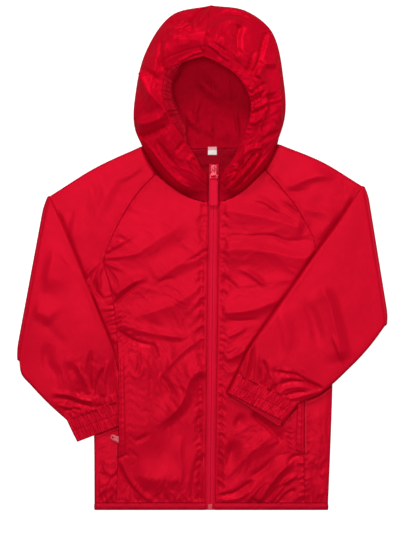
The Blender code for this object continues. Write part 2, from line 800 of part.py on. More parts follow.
def make_tape(side: str, out: float) -> bpy.types.Object:
    """One tape of the front zip, narrow above the neckline and set apart above the slider."""
    outer = out * (ZIP_HALF_WIDTH + TAPE_UNDERLAP)
    neck = out * TAPE_NECK_HALF_WIDTH
    apart = out * ZIP_OPEN_HALF_WIDTH
    inner = out * TAPE_HALF_GAP
    outline = [(outer, TAPE_BOTTOM_Y), (outer, ZIP_NECK_Y - 3.0), (neck, ZIP_NECK_Y + 2.0), (neck, TAPE_TOP_Y)]
    outline += [(apart, TAPE_TOP_Y), (apart, ZIP_OPENS_Y + 3.0), (inner, ZIP_OPENS_Y - 3.0)]
    outline += [(inner, TAPE_BOTTOM_Y)]
    tape = add_plate(f"zip_tape_{side}", outline, TAPE_WALL, DEEP_RED)
    tape.location.z = (TAPE_LOW_Z + TAPE_WALL / 2) * MM
    return tape


def add_zip() -> None:
    """The front zip: two tapes, the closed coil, the bottom box, the slider and its pull."""
    line = zip_line()
    pieces = [make_tape("right", -1.0), make_tape("left", 1.0)]
    box_top = TAPE_BOTTOM_Y + BOX_SIZE[1]
    box_centre = (0.0, box_top - BOX_SIZE[1] / 2, COIL_LOW_Z + BOX_SIZE[2] / 2)
    pieces.append(add_box("zip_box", BOX_SIZE, box_centre, RED, ROUNDING))
    coil_low = box_top + PART_GAP
    coil_high = ZIP_OPENS_Y - PART_GAP
    coil_size = (COIL_WIDTH, coil_high - coil_low, COIL_HEIGHT)
    coil_centre = (0.0, (coil_low + coil_high) / 2, COIL_LOW_Z + COIL_HEIGHT / 2)
    pieces.append(add_box("zip_coil", coil_size, coil_centre, RED, ROUNDING))
    slider = make_slider()
    slider.location.y = SLIDER_Y * MM
    pieces.append(slider)
    for piece in pieces:
        piece.parent = line
    hinge = add_to_garment(bpy.data.objects.new("zip_pull_hinge", None))
    hinge.parent = line
    pivot_z = SLIDER_HIGH_Z + SLIDER_PLATE[2] + BRIDGE.eye / 2
    hinge.location = (0.0, (SLIDER_Y + PIVOT_AHEAD) * MM, pivot_z * MM)
    for piece in (make_link(), make_tab()):
        piece.parent = hinge


def make_bridge(shape: Bridge) -> bpy.types.Object:
    """A slider's arch, standing on the XY plane along X."""
    half = shape.length / 2
    inside = half - shape.wall
    top = shape.eye + shape.wall
    corner = shape.wall / 2
    arch = [(-half, -JOIN_OVERLAP), (-half, top - corner), (corner - half, top), (half - corner, top)]
    arch += [(half, top - corner), (half, -JOIN_OVERLAP), (inside, -JOIN_OVERLAP), (inside, shape.eye)]
    arch += [(-inside, shape.eye), (-inside, -JOIN_OVERLAP)]
    bridge = add_plate("bridge", arch, shape.width, RED)
    bridge.rotation_euler.x = pi / 2
    return bridge


def make_slider() -> bpy.types.Object:
    """The front zip's slider: two plates, the post between them and the bridge that holds the pull."""
    wall = SLIDER_PLATE[2]
    slider = add_box("zip_slider", SLIDER_PLATE, (0.0, 0.0, SLIDER_LOW_Z + wall / 2), RED, ROUNDING)
    top = add_box("top_plate", SLIDER_PLATE, (0.0, 0.0, SLIDER_HIGH_Z + wall / 2), RED, ROUNDING)
    post_height = SLIDER_HIGH_Z - SLIDER_LOW_Z - wall + 2 * JOIN_OVERLAP
    post_y = (SLIDER_PLATE[1] - POST_LENGTH) / 2 - POST_FROM_END
    post_centre = (0.0, post_y, (SLIDER_LOW_Z + SLIDER_HIGH_Z + wall) / 2)
    post = add_box("post", (POST_WIDTH, POST_LENGTH, post_height), post_centre, RED)
    bridge = make_bridge(BRIDGE)
    bridge.rotation_euler.z = pi / 2
    bridge.location.z = (SLIDER_HIGH_Z + wall) * MM
    unite(slider, [top, post, bridge])
    return slider


def make_link() -> bpy.types.Object:
    """The pull's link: a flat plate with an eye round the bridge and a slot for the tab."""
    top_half = LINK_TOP_WIDTH / 2
    eye_half = LINK_EYE_WIDTH / 2
    end_half = LINK_END_WIDTH / 2
    low = -LINK_LENGTH
    right = [(eye_half, -LINK_EYE_LENGTH), (eye_half, 0.0), (top_half, 0.0), (top_half, -LINK_EYE_LENGTH)]
    right += [(end_half, low + LINK_FLARE_LENGTH), (end_half, low + LINK_CORNER), (end_half - LINK_CORNER, low)]
    outline = right + [(-x, y) for x, y in reversed(right)]
    slot_half = LINK_SLOT_WIDTH / 2
    slot_low = low + LINK_BAR
    slot = [(-slot_half, slot_low), (slot_half, slot_low)]
    slot += [(slot_half, slot_low + LINK_SLOT_LENGTH), (-slot_half, slot_low + LINK_SLOT_LENGTH)]
    link = add_plate("zip_pull_link", outline, LINK_WALL, PALE_RED, (slot,))
    bpy.ops.mesh.primitive_cylinder_add(
        vertices=12, radius=PIN_RADIUS * MM, depth=LINK_TOP_WIDTH * MM, rotation=(0.0, pi / 2, 0.0)
    )
    unite(link, [add_to_garment(bpy.context.object)])
    return link


def make_tab() -> bpy.types.Object:
    """The pull's tab: a folded tape whose narrow loop passes through the link's slot."""
    bar_y = LINK_BAR / 2 - LINK_LENGTH
    half = TAB_LOOP_HEIGHT / 2
    eye_radius = TAB_LOOP_EYE / 2
    tab_top = bar_y - TAB_FROM_BAR
    loop_end = tab_top - TAB_LOOP_OVERLAP
    outline = [(loop_end, -TAB_SIZE[2] / 2), (bar_y - TAB_LOOP_BACK, -half)]
    outline += arc((bar_y, 0.0), half, -90, 90, 6)
    outline += [(bar_y - TAB_LOOP_BACK, half), (loop_end, TAB_SIZE[2] / 2)]
    eye = arc((bar_y, 0.0), eye_radius, -90, 90, 6)
    eye += [(bar_y - TAB_EYE_BACK, eye_radius), (bar_y - TAB_EYE_BACK, -eye_radius)]
    loop = add_plate("loop", outline, TAB_LOOP_WIDTH, RED, (eye,))
    loop.rotation_euler = (pi / 2, 0.0, pi / 2)
    tab = add_box("zip_pull_tab", TAB_SIZE, (0.0, tab_top - TAB_SIZE[1] / 2, 0.0), RED, ROUNDING)
    tab.data.transform(tab.matrix_basis)
    tab.matrix_basis.identity()
    unite(tab, [loop])
    return tab


def place_at(run: list, y: float) -> Vector:
    """The place on a downward run of points at one height of the body."""
    for a, b in zip(run, run[1:]):
        if a.y >= y >= b.y:
            return a.lerp(b, (a.y - y) / (a.y - b.y))
    return run[-1].copy()


def welt_rows(side: str) -> list:
    """The points of a pocket welt: the outer edge of a front, moved out from its face."""
    rows = front_rows(side)
    columns = [[row[i] for row in rows] for i in (-2, -1)]
    levels = [point.y for column in columns for point in column if WELT_END_Y[side] < point.y < WELT_TOP_Y]
    levels = sorted(levels + [WELT_TOP_Y, WELT_END_Y[side]], reverse=True)
    lift = Vector((0.0, 0.0, WELT_LIFT))
    return trimmed([[place_at(column, y) + lift for column in columns] for y in levels], "l")


def pocket_zip_rows(side: str, out: float) -> list:
    """The points of the strip of closed pocket zip that shows beside a welt."""
    start = POCKET_ZIP_TOP_Y[side]
    end = POCKET_ZIP_END_Y[side]
    rows = []
    for j in range(POCKET_ZIP_PARTS + 1):
        y = start + (end - start) * j / POCKET_ZIP_PARTS
        x = place_at(seam(side, "side_seam", BODY_ROWS), y).x + out * POCKET_ZIP_OUT
        z = side_z(side, y) + POCKET_ZIP_LIFT
        rows.append([Vector((x, y, z)), Vector((x + out * POCKET_ZIP_WIDTH, y, z))])
    return rows


def add_pocket_slider(side: str) -> bpy.types.Object:
    """The body of a pocket zip's slider."""
    return add_box(f"pocket_slider_{side}", POCKET_SLIDER, POCKET_SLIDER_PLACE[side], RED, ROUNDING / 2)


def add_flat_pull(slider: bpy.types.Object) -> None:
    """Joins to the left slider the pull that lies pinned flat under the sleeve."""
    x, y, z = POCKET_SLIDER_PLACE["left"]
    centre = (x, y - (POCKET_SLIDER[1] + FLAT_PULL[1]) / 2 + FLAT_PULL_OVERLAP, z)
    unite(slider, [add_box("flat_pull", FLAT_PULL, centre, RED)])


def add_loose_pull(slider: bpy.types.Object) -> None:
    """The right slider's bridge, and the pull that swings on it and sticks out beside the welt."""
    x, y, z = POCKET_SLIDER_PLACE["right"]
    top = z + POCKET_SLIDER[2] / 2
    bridge = make_bridge(POCKET_BRIDGE)
    bridge.rotation_euler.z = radians(PULL_HEADING)
    bridge.location = (x * MM, y * MM, top * MM)
    unite(slider, [bridge])
    hinge = add_to_garment(bpy.data.objects.new("pocket_pull_hinge", None))
    hinge.location = (x * MM, y * MM, (top + POCKET_BRIDGE.eye / 2) * MM)
    hinge.rotation_euler.z = radians(PULL_HEADING)
    base = PULL_BASE_WIDTH / 2
    widest = PULL_WIDEST / 2
    eye_half = PULL_EYE_WIDTH / 2
    eye_end = POCKET_BRIDGE.length / 2 + PULL_EYE_PAST_BRIDGE
    outline = [(-PULL_WALL / 2, -base), (base, -base), (PULL_WIDEST_AT, -widest)]
    outline += arc((PULL_REACH, 0.0), PULL_END_RADIUS, -80, 80, 8)
    outline += [(PULL_WIDEST_AT, widest), (base, base), (-PULL_WALL / 2, base)]
    eye = [(PULL_WALL / 2, -eye_half), (PULL_WALL / 2, eye_half), (eye_end, eye_half), (eye_end, -eye_half)]
    hole = arc((PULL_REACH, 0.0), PULL_HOLE_RADIUS, 0, 330, 11)
    pull = add_plate("pocket_pull_right", outline, PULL_WALL, PALE_RED, (eye, hole))
    pull.parent = hinge


def add_pockets() -> None:
    """The pocket welts and the zips beside them."""
    for side, out in (("right", -1.0), ("left", 1.0)):
        add_sheet(f"pocket_welt_{side}", welt_rows(side), CLOTH_WALL, RED)
        add_sheet(f"pocket_zip_{side}", pocket_zip_rows(side, out), CLOTH_WALL, DEEP_RED)
    add_loose_pull(add_pocket_slider("right"))
    add_flat_pull(add_pocket_slider("left"))


def add_label() -> None:
    """The bare care label at the back of the neck."""
    add_box("neck_label", LABEL_SIZE, LABEL_CENTRE, LABEL_WHITE)


def main() -> None:
    """Builds the garment, piece by piece."""
    for item in list(bpy.data.objects):
        bpy.data.objects.remove(item)
    garment = bpy.data.collections.new("windbreaker")
    bpy.context.scene.collection.children.link(garment)
    add_back()
    add_fronts()
    add_side_panels()
    add_sleeves()
    add_hood()
    add_hem_band()
    add_zip()
    add_pockets()
    add_label()


main()
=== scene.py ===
"""Looks of a child's hooded windbreaker, zipped up and lying flat on its back.

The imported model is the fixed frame. Each cloth node is replaced by a finer sheet on the same seam
lines, and its creases are laid on it as soft ridges and troughs. Tables are in millimetres in the
frame's own axes (X to the wearer's left, Y towards the hood, Z up), and meshes are in metres.
"""

import logging
import math
from dataclasses import dataclass, field
from enum import Enum
from typing import Any, Callable, Protocol, Sequence

import bmesh
import bpy
import numpy as np
from mathutils import Matrix, Vector
from mathutils.bvhtree import BVHTree


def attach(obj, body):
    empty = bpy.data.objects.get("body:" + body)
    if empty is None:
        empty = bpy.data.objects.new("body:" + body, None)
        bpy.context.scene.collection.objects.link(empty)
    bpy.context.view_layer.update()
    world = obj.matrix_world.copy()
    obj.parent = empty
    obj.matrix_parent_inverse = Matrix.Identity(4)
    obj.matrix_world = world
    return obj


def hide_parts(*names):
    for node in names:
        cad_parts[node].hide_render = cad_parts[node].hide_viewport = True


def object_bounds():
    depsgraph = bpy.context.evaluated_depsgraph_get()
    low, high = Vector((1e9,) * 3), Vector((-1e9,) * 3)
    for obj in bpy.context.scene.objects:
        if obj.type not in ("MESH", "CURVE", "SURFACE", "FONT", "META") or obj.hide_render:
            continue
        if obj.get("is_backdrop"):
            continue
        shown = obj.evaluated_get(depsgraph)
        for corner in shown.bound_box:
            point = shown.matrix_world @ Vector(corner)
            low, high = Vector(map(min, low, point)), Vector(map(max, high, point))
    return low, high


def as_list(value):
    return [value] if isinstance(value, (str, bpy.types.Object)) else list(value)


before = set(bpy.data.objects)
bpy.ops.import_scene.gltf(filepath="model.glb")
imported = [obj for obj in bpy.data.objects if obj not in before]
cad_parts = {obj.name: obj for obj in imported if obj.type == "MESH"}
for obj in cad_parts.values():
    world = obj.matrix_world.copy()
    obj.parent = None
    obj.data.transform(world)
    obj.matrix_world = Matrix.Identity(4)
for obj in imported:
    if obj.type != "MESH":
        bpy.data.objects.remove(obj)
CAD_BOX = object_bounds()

log = logging.getLogger("windbreaker")

MM = 0.001
CURVE_STEPS = 24
FOLD_STEP = 6.0
UP = np.array([0.0, 0.0, 1.0])


class Side(Enum):
    """The wearer's side that a piece is on."""

    RIGHT = "right"
    LEFT = "left"

    @property
    def out(self) -> float:
        """The X direction from the zip to this side."""
        return -1.0 if self is Side.RIGHT else 1.0

    def named(self, stem: str) -> str:
        """A piece's or a node's name on this side."""
        return f"{stem}_{self.value}"


# --- Curves and grids -------------------------------------------------------------------------


def shares(parts: int) -> np.ndarray:
    """Even shares from 0 to 1."""
    return np.linspace(0.0, 1.0, parts + 1)


def blend(a: Any, b: Any, share: Any) -> Any:
    """What lies between a, at a share of 0, and b, at 1."""
    return a * (1 - share) + b * share


def ease(share: Any) -> Any:
    """A smooth step from 0 at 0 to 1 at 1."""
    t = np.clip(share, 0.0, 1.0)
    return t * t * (3 - 2 * t)


def places(x: Any, y: Any, z: Any) -> np.ndarray:
    """A grid of places from their coordinates."""
    return np.stack(np.broadcast_arrays(x, y, z), axis=-1)


def steps(line: np.ndarray, axis: int = 0) -> np.ndarray:
    """The distances from place to place along one axis of a line or grid."""
    return np.linalg.norm(np.diff(line, axis=axis), axis=-1)


def reached(line: np.ndarray) -> np.ndarray:
    """How far along a line each of its places lies."""
    return np.concatenate([[0.0], np.cumsum(steps(line))])


def hermite(
    a: np.ndarray, slope_a: np.ndarray, b: np.ndarray, slope_b: np.ndarray, t: np.ndarray
) -> np.ndarray:
    """Places from a to b on the curve with these slopes at its ends."""
    to_b = 3 * t**2 - 2 * t**3
    return a * (1 - to_b) + slope_a * (t**3 - 2 * t**2 + t) + b * to_b + slope_b * (t**3 - t**2)


def sampled(line: np.ndarray, wanted: np.ndarray) -> np.ndarray:
    """The places at these lengths along a line."""
    along = reached(line)
    return np.stack([np.interp(wanted, along, column) for column in line.T], axis=1)


def spaced(line: np.ndarray, parts: int) -> np.ndarray:
    """Evenly spaced places along a line of points, its ends included."""
    return sampled(line, np.linspace(0.0, reached(line)[-1], parts + 1))


def curve_through(points: Sequence[Sequence[float]], parts: int) -> np.ndarray:
    """Evenly spaced places on a smooth curve through a few points.

    Args:
        points: The curve's own points, all with the same count of numbers.
        parts: How many equal parts the curve is divided into.

    Returns:
        An array of parts + 1 places.
    """
    knots = np.array(points, float)
    chords = steps(knots)
    last = len(knots) - 1
    slopes = []
    for index in range(last + 1):
        low, high = max(index - 1, 0), min(index + 1, last)
        slopes.append((knots[high] - knots[low]) / chords[low:high].sum())
    t = shares(CURVE_STEPS)[1:, None]
    runs = [knots[:1]]
    for index, chord in enumerate(chords):
        leaving, arriving = slopes[index] * chord, slopes[index + 1] * chord
        runs.append(hermite(knots[index], leaving, knots[index + 1], arriving, t))
    return spaced(np.concatenate(runs), parts)


def spline_spans(knots: np.ndarray, parts: Sequence[int]) -> np.ndarray:
    """Fills in places between knots on smooth curves whose slopes allow for uneven spacing.

    Args:
        knots: The knots, along the next to last axis.
        parts: How many parts each span between two knots is divided into.

    Returns:
        The places, along the same axis.
    """

    def size(step: np.ndarray) -> np.ndarray:
        """The length of each step."""
        return np.linalg.norm(step, axis=-1, keepdims=True)

    last = knots.shape[-2] - 1
    runs = [knots[..., :1, :]]
    for index, count in enumerate(parts):
        picked = [min(max(index + k, 0), last) for k in (-1, 0, 1, 2)]
        before, start, end, after = (knots[..., k, :][..., None, :] for k in picked)
        gap = np.maximum(size(end - start), 1e-6)
        first = (end - before) / (size(start - before) + gap)
        final = (after - start) / (size(after - end) + gap)
        runs.append(hermite(start, first * gap, end, final * gap, shares(count)[1:, None]))
    return np.concatenate(runs, axis=-2)


def fill_between(top: np.ndarray, bottom: np.ndarray, first: np.ndarray, last: np.ndarray) -> np.ndarray:
    """A grid of places that fills the space between four edges.

    Args:
        top: The first row.
        bottom: The last row, in the same direction.
        first: The first column, from the top row to the bottom row.
        last: The last column, in the same direction.

    Returns:
        An array of rows, columns and coordinates.
    """
    v = shares(len(first) - 1)[:, None, None]
    u = shares(len(top) - 1)[None, :, None]
    corners = blend(blend(top[0], top[-1], u), blend(bottom[0], bottom[-1], u), v)
    return blend(top[None], bottom[None], v) + blend(first[:, None], last[:, None], u) - corners


def unit(vectors: np.ndarray) -> np.ndarray:
    """The same directions with length 1."""
    return vectors / np.maximum(np.linalg.norm(vectors, axis=-1, keepdims=True), 1e-9)


def with_height(plan: np.ndarray, height: np.ndarray | float) -> np.ndarray:
    """Places in plan given their heights."""
    return places(plan[..., 0], plan[..., 1], height)


def drawn_in(rows: np.ndarray, inset: np.ndarray | float) -> np.ndarray:
    """Rows whose two ends are drawn in along themselves, with their places spread evenly again."""
    result = np.empty_like(rows)
    for index, (row, inwards) in enumerate(zip(rows, np.broadcast_to(inset, len(rows)))):
        along = reached(row)
        result[index] = sampled(row, inwards + along * (along[-1] - 2 * inwards) / along[-1])
    return result


def tube(low: np.ndarray, high: np.ndarray, parts: int) -> np.ndarray:
    """Closes two layers of a flattened tube with a round fold at each edge.

    Args:
        low: One layer's rows, from the tube's top edge to its under edge.
        high: The other layer's rows, in the same order.
        parts: How finely each fold is divided.

    Returns:
        Rings of places, down one layer and back along the other.
    """
    angle = (math.pi * np.arange(1, parts) / parts)[None, :, None]

    def turn(a: np.ndarray, b: np.ndarray, before: np.ndarray) -> np.ndarray:
        """The places on a fold from a round to b."""
        middle = (a + b) / 2
        arm = a - middle
        out = unit(a - before) * np.linalg.norm(arm, axis=-1, keepdims=True)
        return middle[:, None] + arm[:, None] * np.cos(angle) + out[:, None] * np.sin(angle)

    under = turn(low[:, -1], high[:, -1], low[:, -2])
    over = turn(high[:, 0], low[:, 0], high[:, 1])
    return np.concatenate([low, under, high[:, ::-1], over], axis=1)


def nearest_on(line: np.ndarray, x: np.ndarray, y: np.ndarray) -> tuple[np.ndarray, np.ndarray]:
    """How far places lie from a line in plan, and how far along it.

    Args:
        line: The line's points.
        x: The places' X.
        y: The places' Y.

    Returns:
        The distance, positive on the left of the line's direction, and the length along the line.
    """
    best = np.full(x.shape, np.inf)
    side = np.ones(x.shape)
    along = np.zeros(x.shape)
    start = 0.0
    for a, b in zip(line[:-1], line[1:]):
        run = b[:2] - a[:2]
        length = max(float(np.hypot(*run)), 1e-9)
        t = np.clip(((x - a[0]) * run[0] + (y - a[1]) * run[1]) / length**2, 0.0, 1.0)
        off_x = x - a[0] - t * run[0]
        off_y = y - a[1] - t * run[1]
        far = off_x**2 + off_y**2
        closer = far < best
        best = np.where(closer, far, best)
        side = np.where(closer, np.where(run[0] * off_y - run[1] * off_x >= 0.0, 1.0, -1.0), side)
        along = np.where(closer, start + t * length, along)
        start += length
    return np.sqrt(best) * side, along


def off_line(line: np.ndarray, x: np.ndarray, y: np.ndarray) -> np.ndarray:
    """How far places lie from a line in plan, on either side."""
    return np.abs(nearest_on(line, x, y)[0])


def inside_depth(outline: np.ndarray, x: np.ndarray, y: np.ndarray) -> np.ndarray:
    """How far places lie inside an outline in plan, negative outside it."""
    ring = np.concatenate([outline, outline[:1]])
    crossings = np.zeros(x.shape, int)
    for a, b in zip(ring[:-1], ring[1:]):
        spans = (a[1] > y) != (b[1] > y)
        rise = b[1] - a[1] if b[1] != a[1] else 1e-9
        crossings += spans & (x < a[0] + (y - a[1]) / rise * (b[0] - a[0]))
    return off_line(ring, x, y) * np.where(crossings % 2 == 1, 1.0, -1.0)


# --- Relief: what creases do to a sheet -------------------------------------------------------


def swell(share: np.ndarray, crisp: float = 2.0) -> np.ndarray:
    """A crease's profile, from 1 at its line to 0 at its foot.

    Crisp is 2 for a soft crease, 3 for a sharp one and 4 for one between two flat facets.
    """
    q = np.clip(share, 0.0, 1.0)
    soft = min(max(3.0 - crisp, 0.0), 1.0)
    flat = min(max(crisp - 3.0, 0.0), 1.0)
    return (1 - q) ** (min(crisp, 2.4) - 1.4 * flat) * (1 + crisp * q * soft)


class Relief(Protocol):
    """Something that raises or lowers a sheet."""

    def lift(self, x: np.ndarray, y: np.ndarray) -> np.ndarray:
        """The rise at places in plan, in millimetres."""


def lift_along(
    line: np.ndarray, reach: float, x: np.ndarray, y: np.ndarray, rise: Callable[..., np.ndarray]
) -> np.ndarray:
    """The rise that a line gives to the places near it.

    Args:
        line: The line's points.
        reach: How far from the line anything rises.
        x: The places' X.
        y: The places' Y.
        rise: Gives the rise from the distance off the line and the length along it.

    Returns:
        The rise at all the places, in millimetres.
    """
    low, high = line.min(axis=0) - reach, line.max(axis=0) + reach
    near = (x > low[0]) & (x < high[0]) & (y > low[1]) & (y < high[1])
    result = np.zeros(x.shape)
    if near.any():
        result[near] = rise(*nearest_on(line, x[near], y[near]))
    return result


@dataclass(frozen=True)
class Fold:
    """One crease: a ridge, or a trough where its height is negative.

    Its widths are those on the left and the right of its direction, and ends are the shares of its
    length over which it rises from nothing and dies away.
    """

    path: tuple[tuple[float, float], ...]
    height: float
    widths: tuple[float, float]
    crisp: float = 2.0
    ends: tuple[float, float] = (0.35, 0.35)

    def lift(self, x: np.ndarray, y: np.ndarray) -> np.ndarray:
        """The rise at places in plan, in millimetres."""
        rough = steps(np.array(self.path, float)).sum()
        line = curve_through(self.path, max(6, int(rough / FOLD_STEP)))
        total = steps(line).sum()

        def rise(off: np.ndarray, along: np.ndarray) -> np.ndarray:
            """The rise at a distance off the line and a length along it."""
            fade = ease(along / total / self.ends[0]) * ease((1 - along / total) / self.ends[1])
            return self.height * fade * swell(np.abs(off) / np.where(off > 0.0, *self.widths), self.crisp)

        return lift_along(line, max(self.widths), x, y, rise)


@dataclass(frozen=True)
class Gathers:
    """A row of small puckers held by a seam or an elastic.

    Lean tilts them, and sides are how strongly they show on the left and the right of the path.
    """

    path: tuple[tuple[float, float], ...]
    pitch: float
    height: float
    reach: float
    seed: int
    lean: float = 0.0
    crisp: float = 2.0
    sides: tuple[float, float] = (1.0, 1.0)

    def lift(self, x: np.ndarray, y: np.ndarray) -> np.ndarray:
        """The rise at places in plan, in millimetres."""
        line = curve_through(self.path, 4 * len(self.path) + 8)
        count = max(1, int(steps(line).sum() / self.pitch))

        def rise(off: np.ndarray, along: np.ndarray) -> np.ndarray:
            """The rise at a distance off the line and a length along it."""
            rng = np.random.default_rng(self.seed)
            far = np.abs(off)
            total = np.zeros(off.shape)
            for index in range(count):
                place = (index + 0.5 + rng.uniform(-0.35, 0.35)) * self.pitch
                height = rng.uniform(0.4, 1.0) * self.height
                reach = rng.uniform(0.5, 1.2) * self.reach
                tilt = self.lean + rng.normal(0.0, 0.2)
                width = rng.uniform(0.42, 0.7) * self.pitch
                across = np.abs(along - place + tilt * far) / width
                total += height * swell(across, self.crisp) * (1 - ease(far / reach))
            return total * np.where(off > 0.0, *self.sides)

        return lift_along(line, 1.3 * self.reach, x, y, rise)


def in_cells(
    x: np.ndarray, y: np.ndarray, size: tuple[float, float], angle: float
) -> tuple[np.ndarray, np.ndarray]:
    """Places in plan counted in cells of a size, turned by an angle in degrees."""
    turn = math.radians(angle)
    u = (x * math.cos(turn) + y * math.sin(turn)) / size[0]
    v = (y * math.cos(turn) - x * math.sin(turn)) / size[1]
    return u, v


def noise(u: np.ndarray, v: np.ndarray, seed: int) -> np.ndarray:
    """Smooth noise between about -1 and 1, with cells one unit wide."""
    headings = np.random.default_rng(seed).uniform(0.0, 2 * math.pi, (64, 64))
    cell_u, cell_v = np.floor(u).astype(int), np.floor(v).astype(int)
    in_u, in_v = u - cell_u, v - cell_v

    def corner(i: int, j: int) -> np.ndarray:
        """What one corner of each place's cell gives it."""
        heading = headings[(cell_u + i) % 64, (cell_v + j) % 64]
        return np.cos(heading) * (in_u - i) + np.sin(heading) * (in_v - j)

    low, high = (blend(corner(0, j), corner(1, j), ease(in_u)) for j in (0, 1))
    return 1.6 * blend(low, high, ease(in_v))


@dataclass(frozen=True)
class Billow:
    """Soft uneven swelling all over a sheet, from smooth noise."""

    size: tuple[float, float]
    height: float
    seed: int
    angle: float = 0.0

    def lift(self, x: np.ndarray, y: np.ndarray) -> np.ndarray:
        """The rise at places in plan, in millimetres."""
        return self.height * noise(*in_cells(x, y, self.size, self.angle), self.seed)


@dataclass(frozen=True)
class Rumple:
    """Crisp creases that wander and cross, as packed nylon keeps them, over one soft-edged area.

    Size is the usual spacing along and across the creases' heading, which angle gives in degrees.
    """

    centre: tuple[float, float]
    spread: tuple[float, float]
    size: tuple[float, float]
    angle: float
    height: float
    seed: int
    sharp: float = 2.6
    layers: int = 3

    def lift(self, x: np.ndarray, y: np.ndarray) -> np.ndarray:
        """The rise at places in plan, in millimetres."""
        off = np.hypot((x - self.centre[0]) / self.spread[0], (y - self.centre[1]) / self.spread[1])
        near = off < 1.0
        result = np.zeros(x.shape)
        if not near.any():
            return result
        u, v = in_cells(x[near], y[near], self.size, self.angle)
        v = v + 0.7 * noise(u * 0.7 + 5.3, v * 0.45 + 9.1, self.seed + 1)
        u = u + 0.5 * noise(u * 0.6 + 1.7, v * 0.5 + 3.9, self.seed + 2)
        rise = np.zeros(u.shape)
        scale, share = 1.0, 1.0
        for layer in range(self.layers):
            line = noise(u * scale + 11.0 * layer, v * scale + 7.0 * layer, self.seed + 3 + layer)
            patches = noise(u * 0.5 * scale + 31.0, v * 0.5 * scale, self.seed + 40 + layer)
            crest = np.clip(1 - self.sharp * np.abs(line), 0.0, 1.0) ** 1.5
            strength = np.clip(0.55 + 0.9 * patches, 0.0, 1.2)
            rise += share * (crest * strength * (-1.0) ** layer + 0.35 * line)
            scale *= 1.9
            share *= 0.52
        result[near] = self.height * rise * (1 - ease((off[near] - 0.55) / 0.45))
        return result


def raised(items: Sequence[Relief], x: np.ndarray, y: np.ndarray) -> np.ndarray:
    """What several reliefs do together."""
    return sum((item.lift(x, y) for item in items), np.zeros(x.shape))


def held_below(height: np.ndarray, ceiling: np.ndarray) -> np.ndarray:
    """Heights bent softly so that they stay under a ceiling."""
    soft = 0.5
    gap = np.clip((height - ceiling) / soft, -60.0, 60.0)
    return height - soft * np.log1p(np.exp(gap))


# --- The garment's pattern, as in the CAD source ----------------------------------------------

BACK_Z = 0.5
FRONT_Z = 5.0
FOREARM_LOW_Z = 8.5
FOREARM_HIGH_Z = 13.0
HEM_TOP_Y = -331.0
HEM_BOTTOM_Y = -340.0
HEM_FRONT_Z = 5.3
ZIP_HEM_X = 11.0
ZIP_NECK_X = 15.5
ZIP_NECK_Y = 75.0
ZIP_HALF_WIDTH = 6.4
CLOTH_WALL = 0.6

SEAMS = {
    Side.RIGHT: {
        "neckline": ((8, 75), (-16, 81), (-39, 94), (-63, 113)),
        "neck_side": ((-82, 151), (-74, 131), (-63, 113)),
        "neck_back": ((-82, 151), (-72, 151), (-62, 147)),
        "raglan": ((-63, 113), (-82, 94), (-100, 69), (-120, 32), (-134, -5)),
        "raglan_back": ((-62, 147), (-84, 118), (-106, 78), (-124, 36), (-134, -5)),
        "underarm": ((-134, -5), (-146, -18), (-151.5, -36)),
        "side_seam": ((-134, -5), (-122, -47), (-114, -116), (-112, -192), (-113, -266), (-117, -331)),
        "side_fold": ((-157.5, -32), (-151.5, -62), (-149, -90), (-148, -165), (-146, -246), (-145.5, -331)),
        "arm_top": ((-82, 151), (-146, 120.5), (-205, 83.5)),
        "arm_under": ((-151.5, -36), (-184, -82), (-246.3, -139)),
    },
    Side.LEFT: {
        "neckline": ((23, 75), (40, 81), (59, 93), (86, 119)),
        "neck_side": ((104, 154), (95, 135), (86, 119)),
        "neck_back": ((104, 154), (94, 153), (84, 149)),
        "raglan": ((86, 119), (112, 89), (128, 68), (150, 28), (156, -2)),
        "raglan_back": ((84, 149), (106, 120), (128, 80), (147, 38), (156, -2)),
        "underarm": ((156, -2), (168, -14), (178.5, -30)),
        "side_seam": ((156, -2), (146, -62), (139, -151), (138, -212), (138, -266), (139, -331)),
        "side_fold": ((178.5, -30), (178, -90), (176.5, -171), (174, -246), (170.5, -331)),
        "arm_top": ((104, 154), (162, 129.5), (216, 97)),
        "arm_under": ((178.5, -30), (204, -66), (246.6, -91.5)),
    },
}
BACK_NECK = ((-62, 147), (14, 148.5), (84, 149))

# The right front's edge stands up over the cuff tucked under it: y, the edge's lift, and the
# height of the side panel that the cuff presses down.
POCKET_LIFT = (
    (-105, 0, 5),
    (-112, 0.4, 4.85),
    (-141, 4.6, 3.65),
    (-148, 5, 3.5),
    (-224, 5, 3.5),
    (-234, 4.7, 3.5),
    (-252, 3.3, 3.5),
    (-288, 0.5, 4.6),
    (-302, 0, 5),
)
LIFT_FLAT_TO_X = -84
LIFT_ENDS_AT_X = -44

# Sections across a folded-over forearm or cuff: top x, y, under x, y, low z, high z, lip.
CREASES = {
    Side.RIGHT: (-205, 83.5, -246.3, -139, FOREARM_LOW_Z, FOREARM_HIGH_Z, 0),
    Side.LEFT: (216, 97, 246.6, -91.5, FOREARM_LOW_Z, FOREARM_HIGH_Z, 0),
}
FOREARMS = {
    Side.RIGHT: (
        (-182, 30, -243, -157, 8.5, 13, 0),
        (-160, -24, -230, -172, 8.5, 13, 0),
        (-139, -76, -216, -187, 8.4, 12.8, 0),
        (-123, -116, -203, -200, 7.2, 11.4, 0),
        (-113, -150, -191, -211, 5.4, 8.6, 0),
        (-98, -189, -182, -219, 5, 7.8, 0),
    ),
    Side.LEFT: (
        (184, 48, 231, -113, 8.5, 13, 0),
        (152, 4, 214, -133, 8.5, 13, 0),
        (120, -42, 196, -151, 8.5, 13.4, 0),
        (90, -84, 177, -169, 8.5, 13.8, 0),
        (64, -122, 157, -184, 8.3, 13.6, 0),
        (47, -158, 130, -196, 8, 12.4, 0),
    ),
}
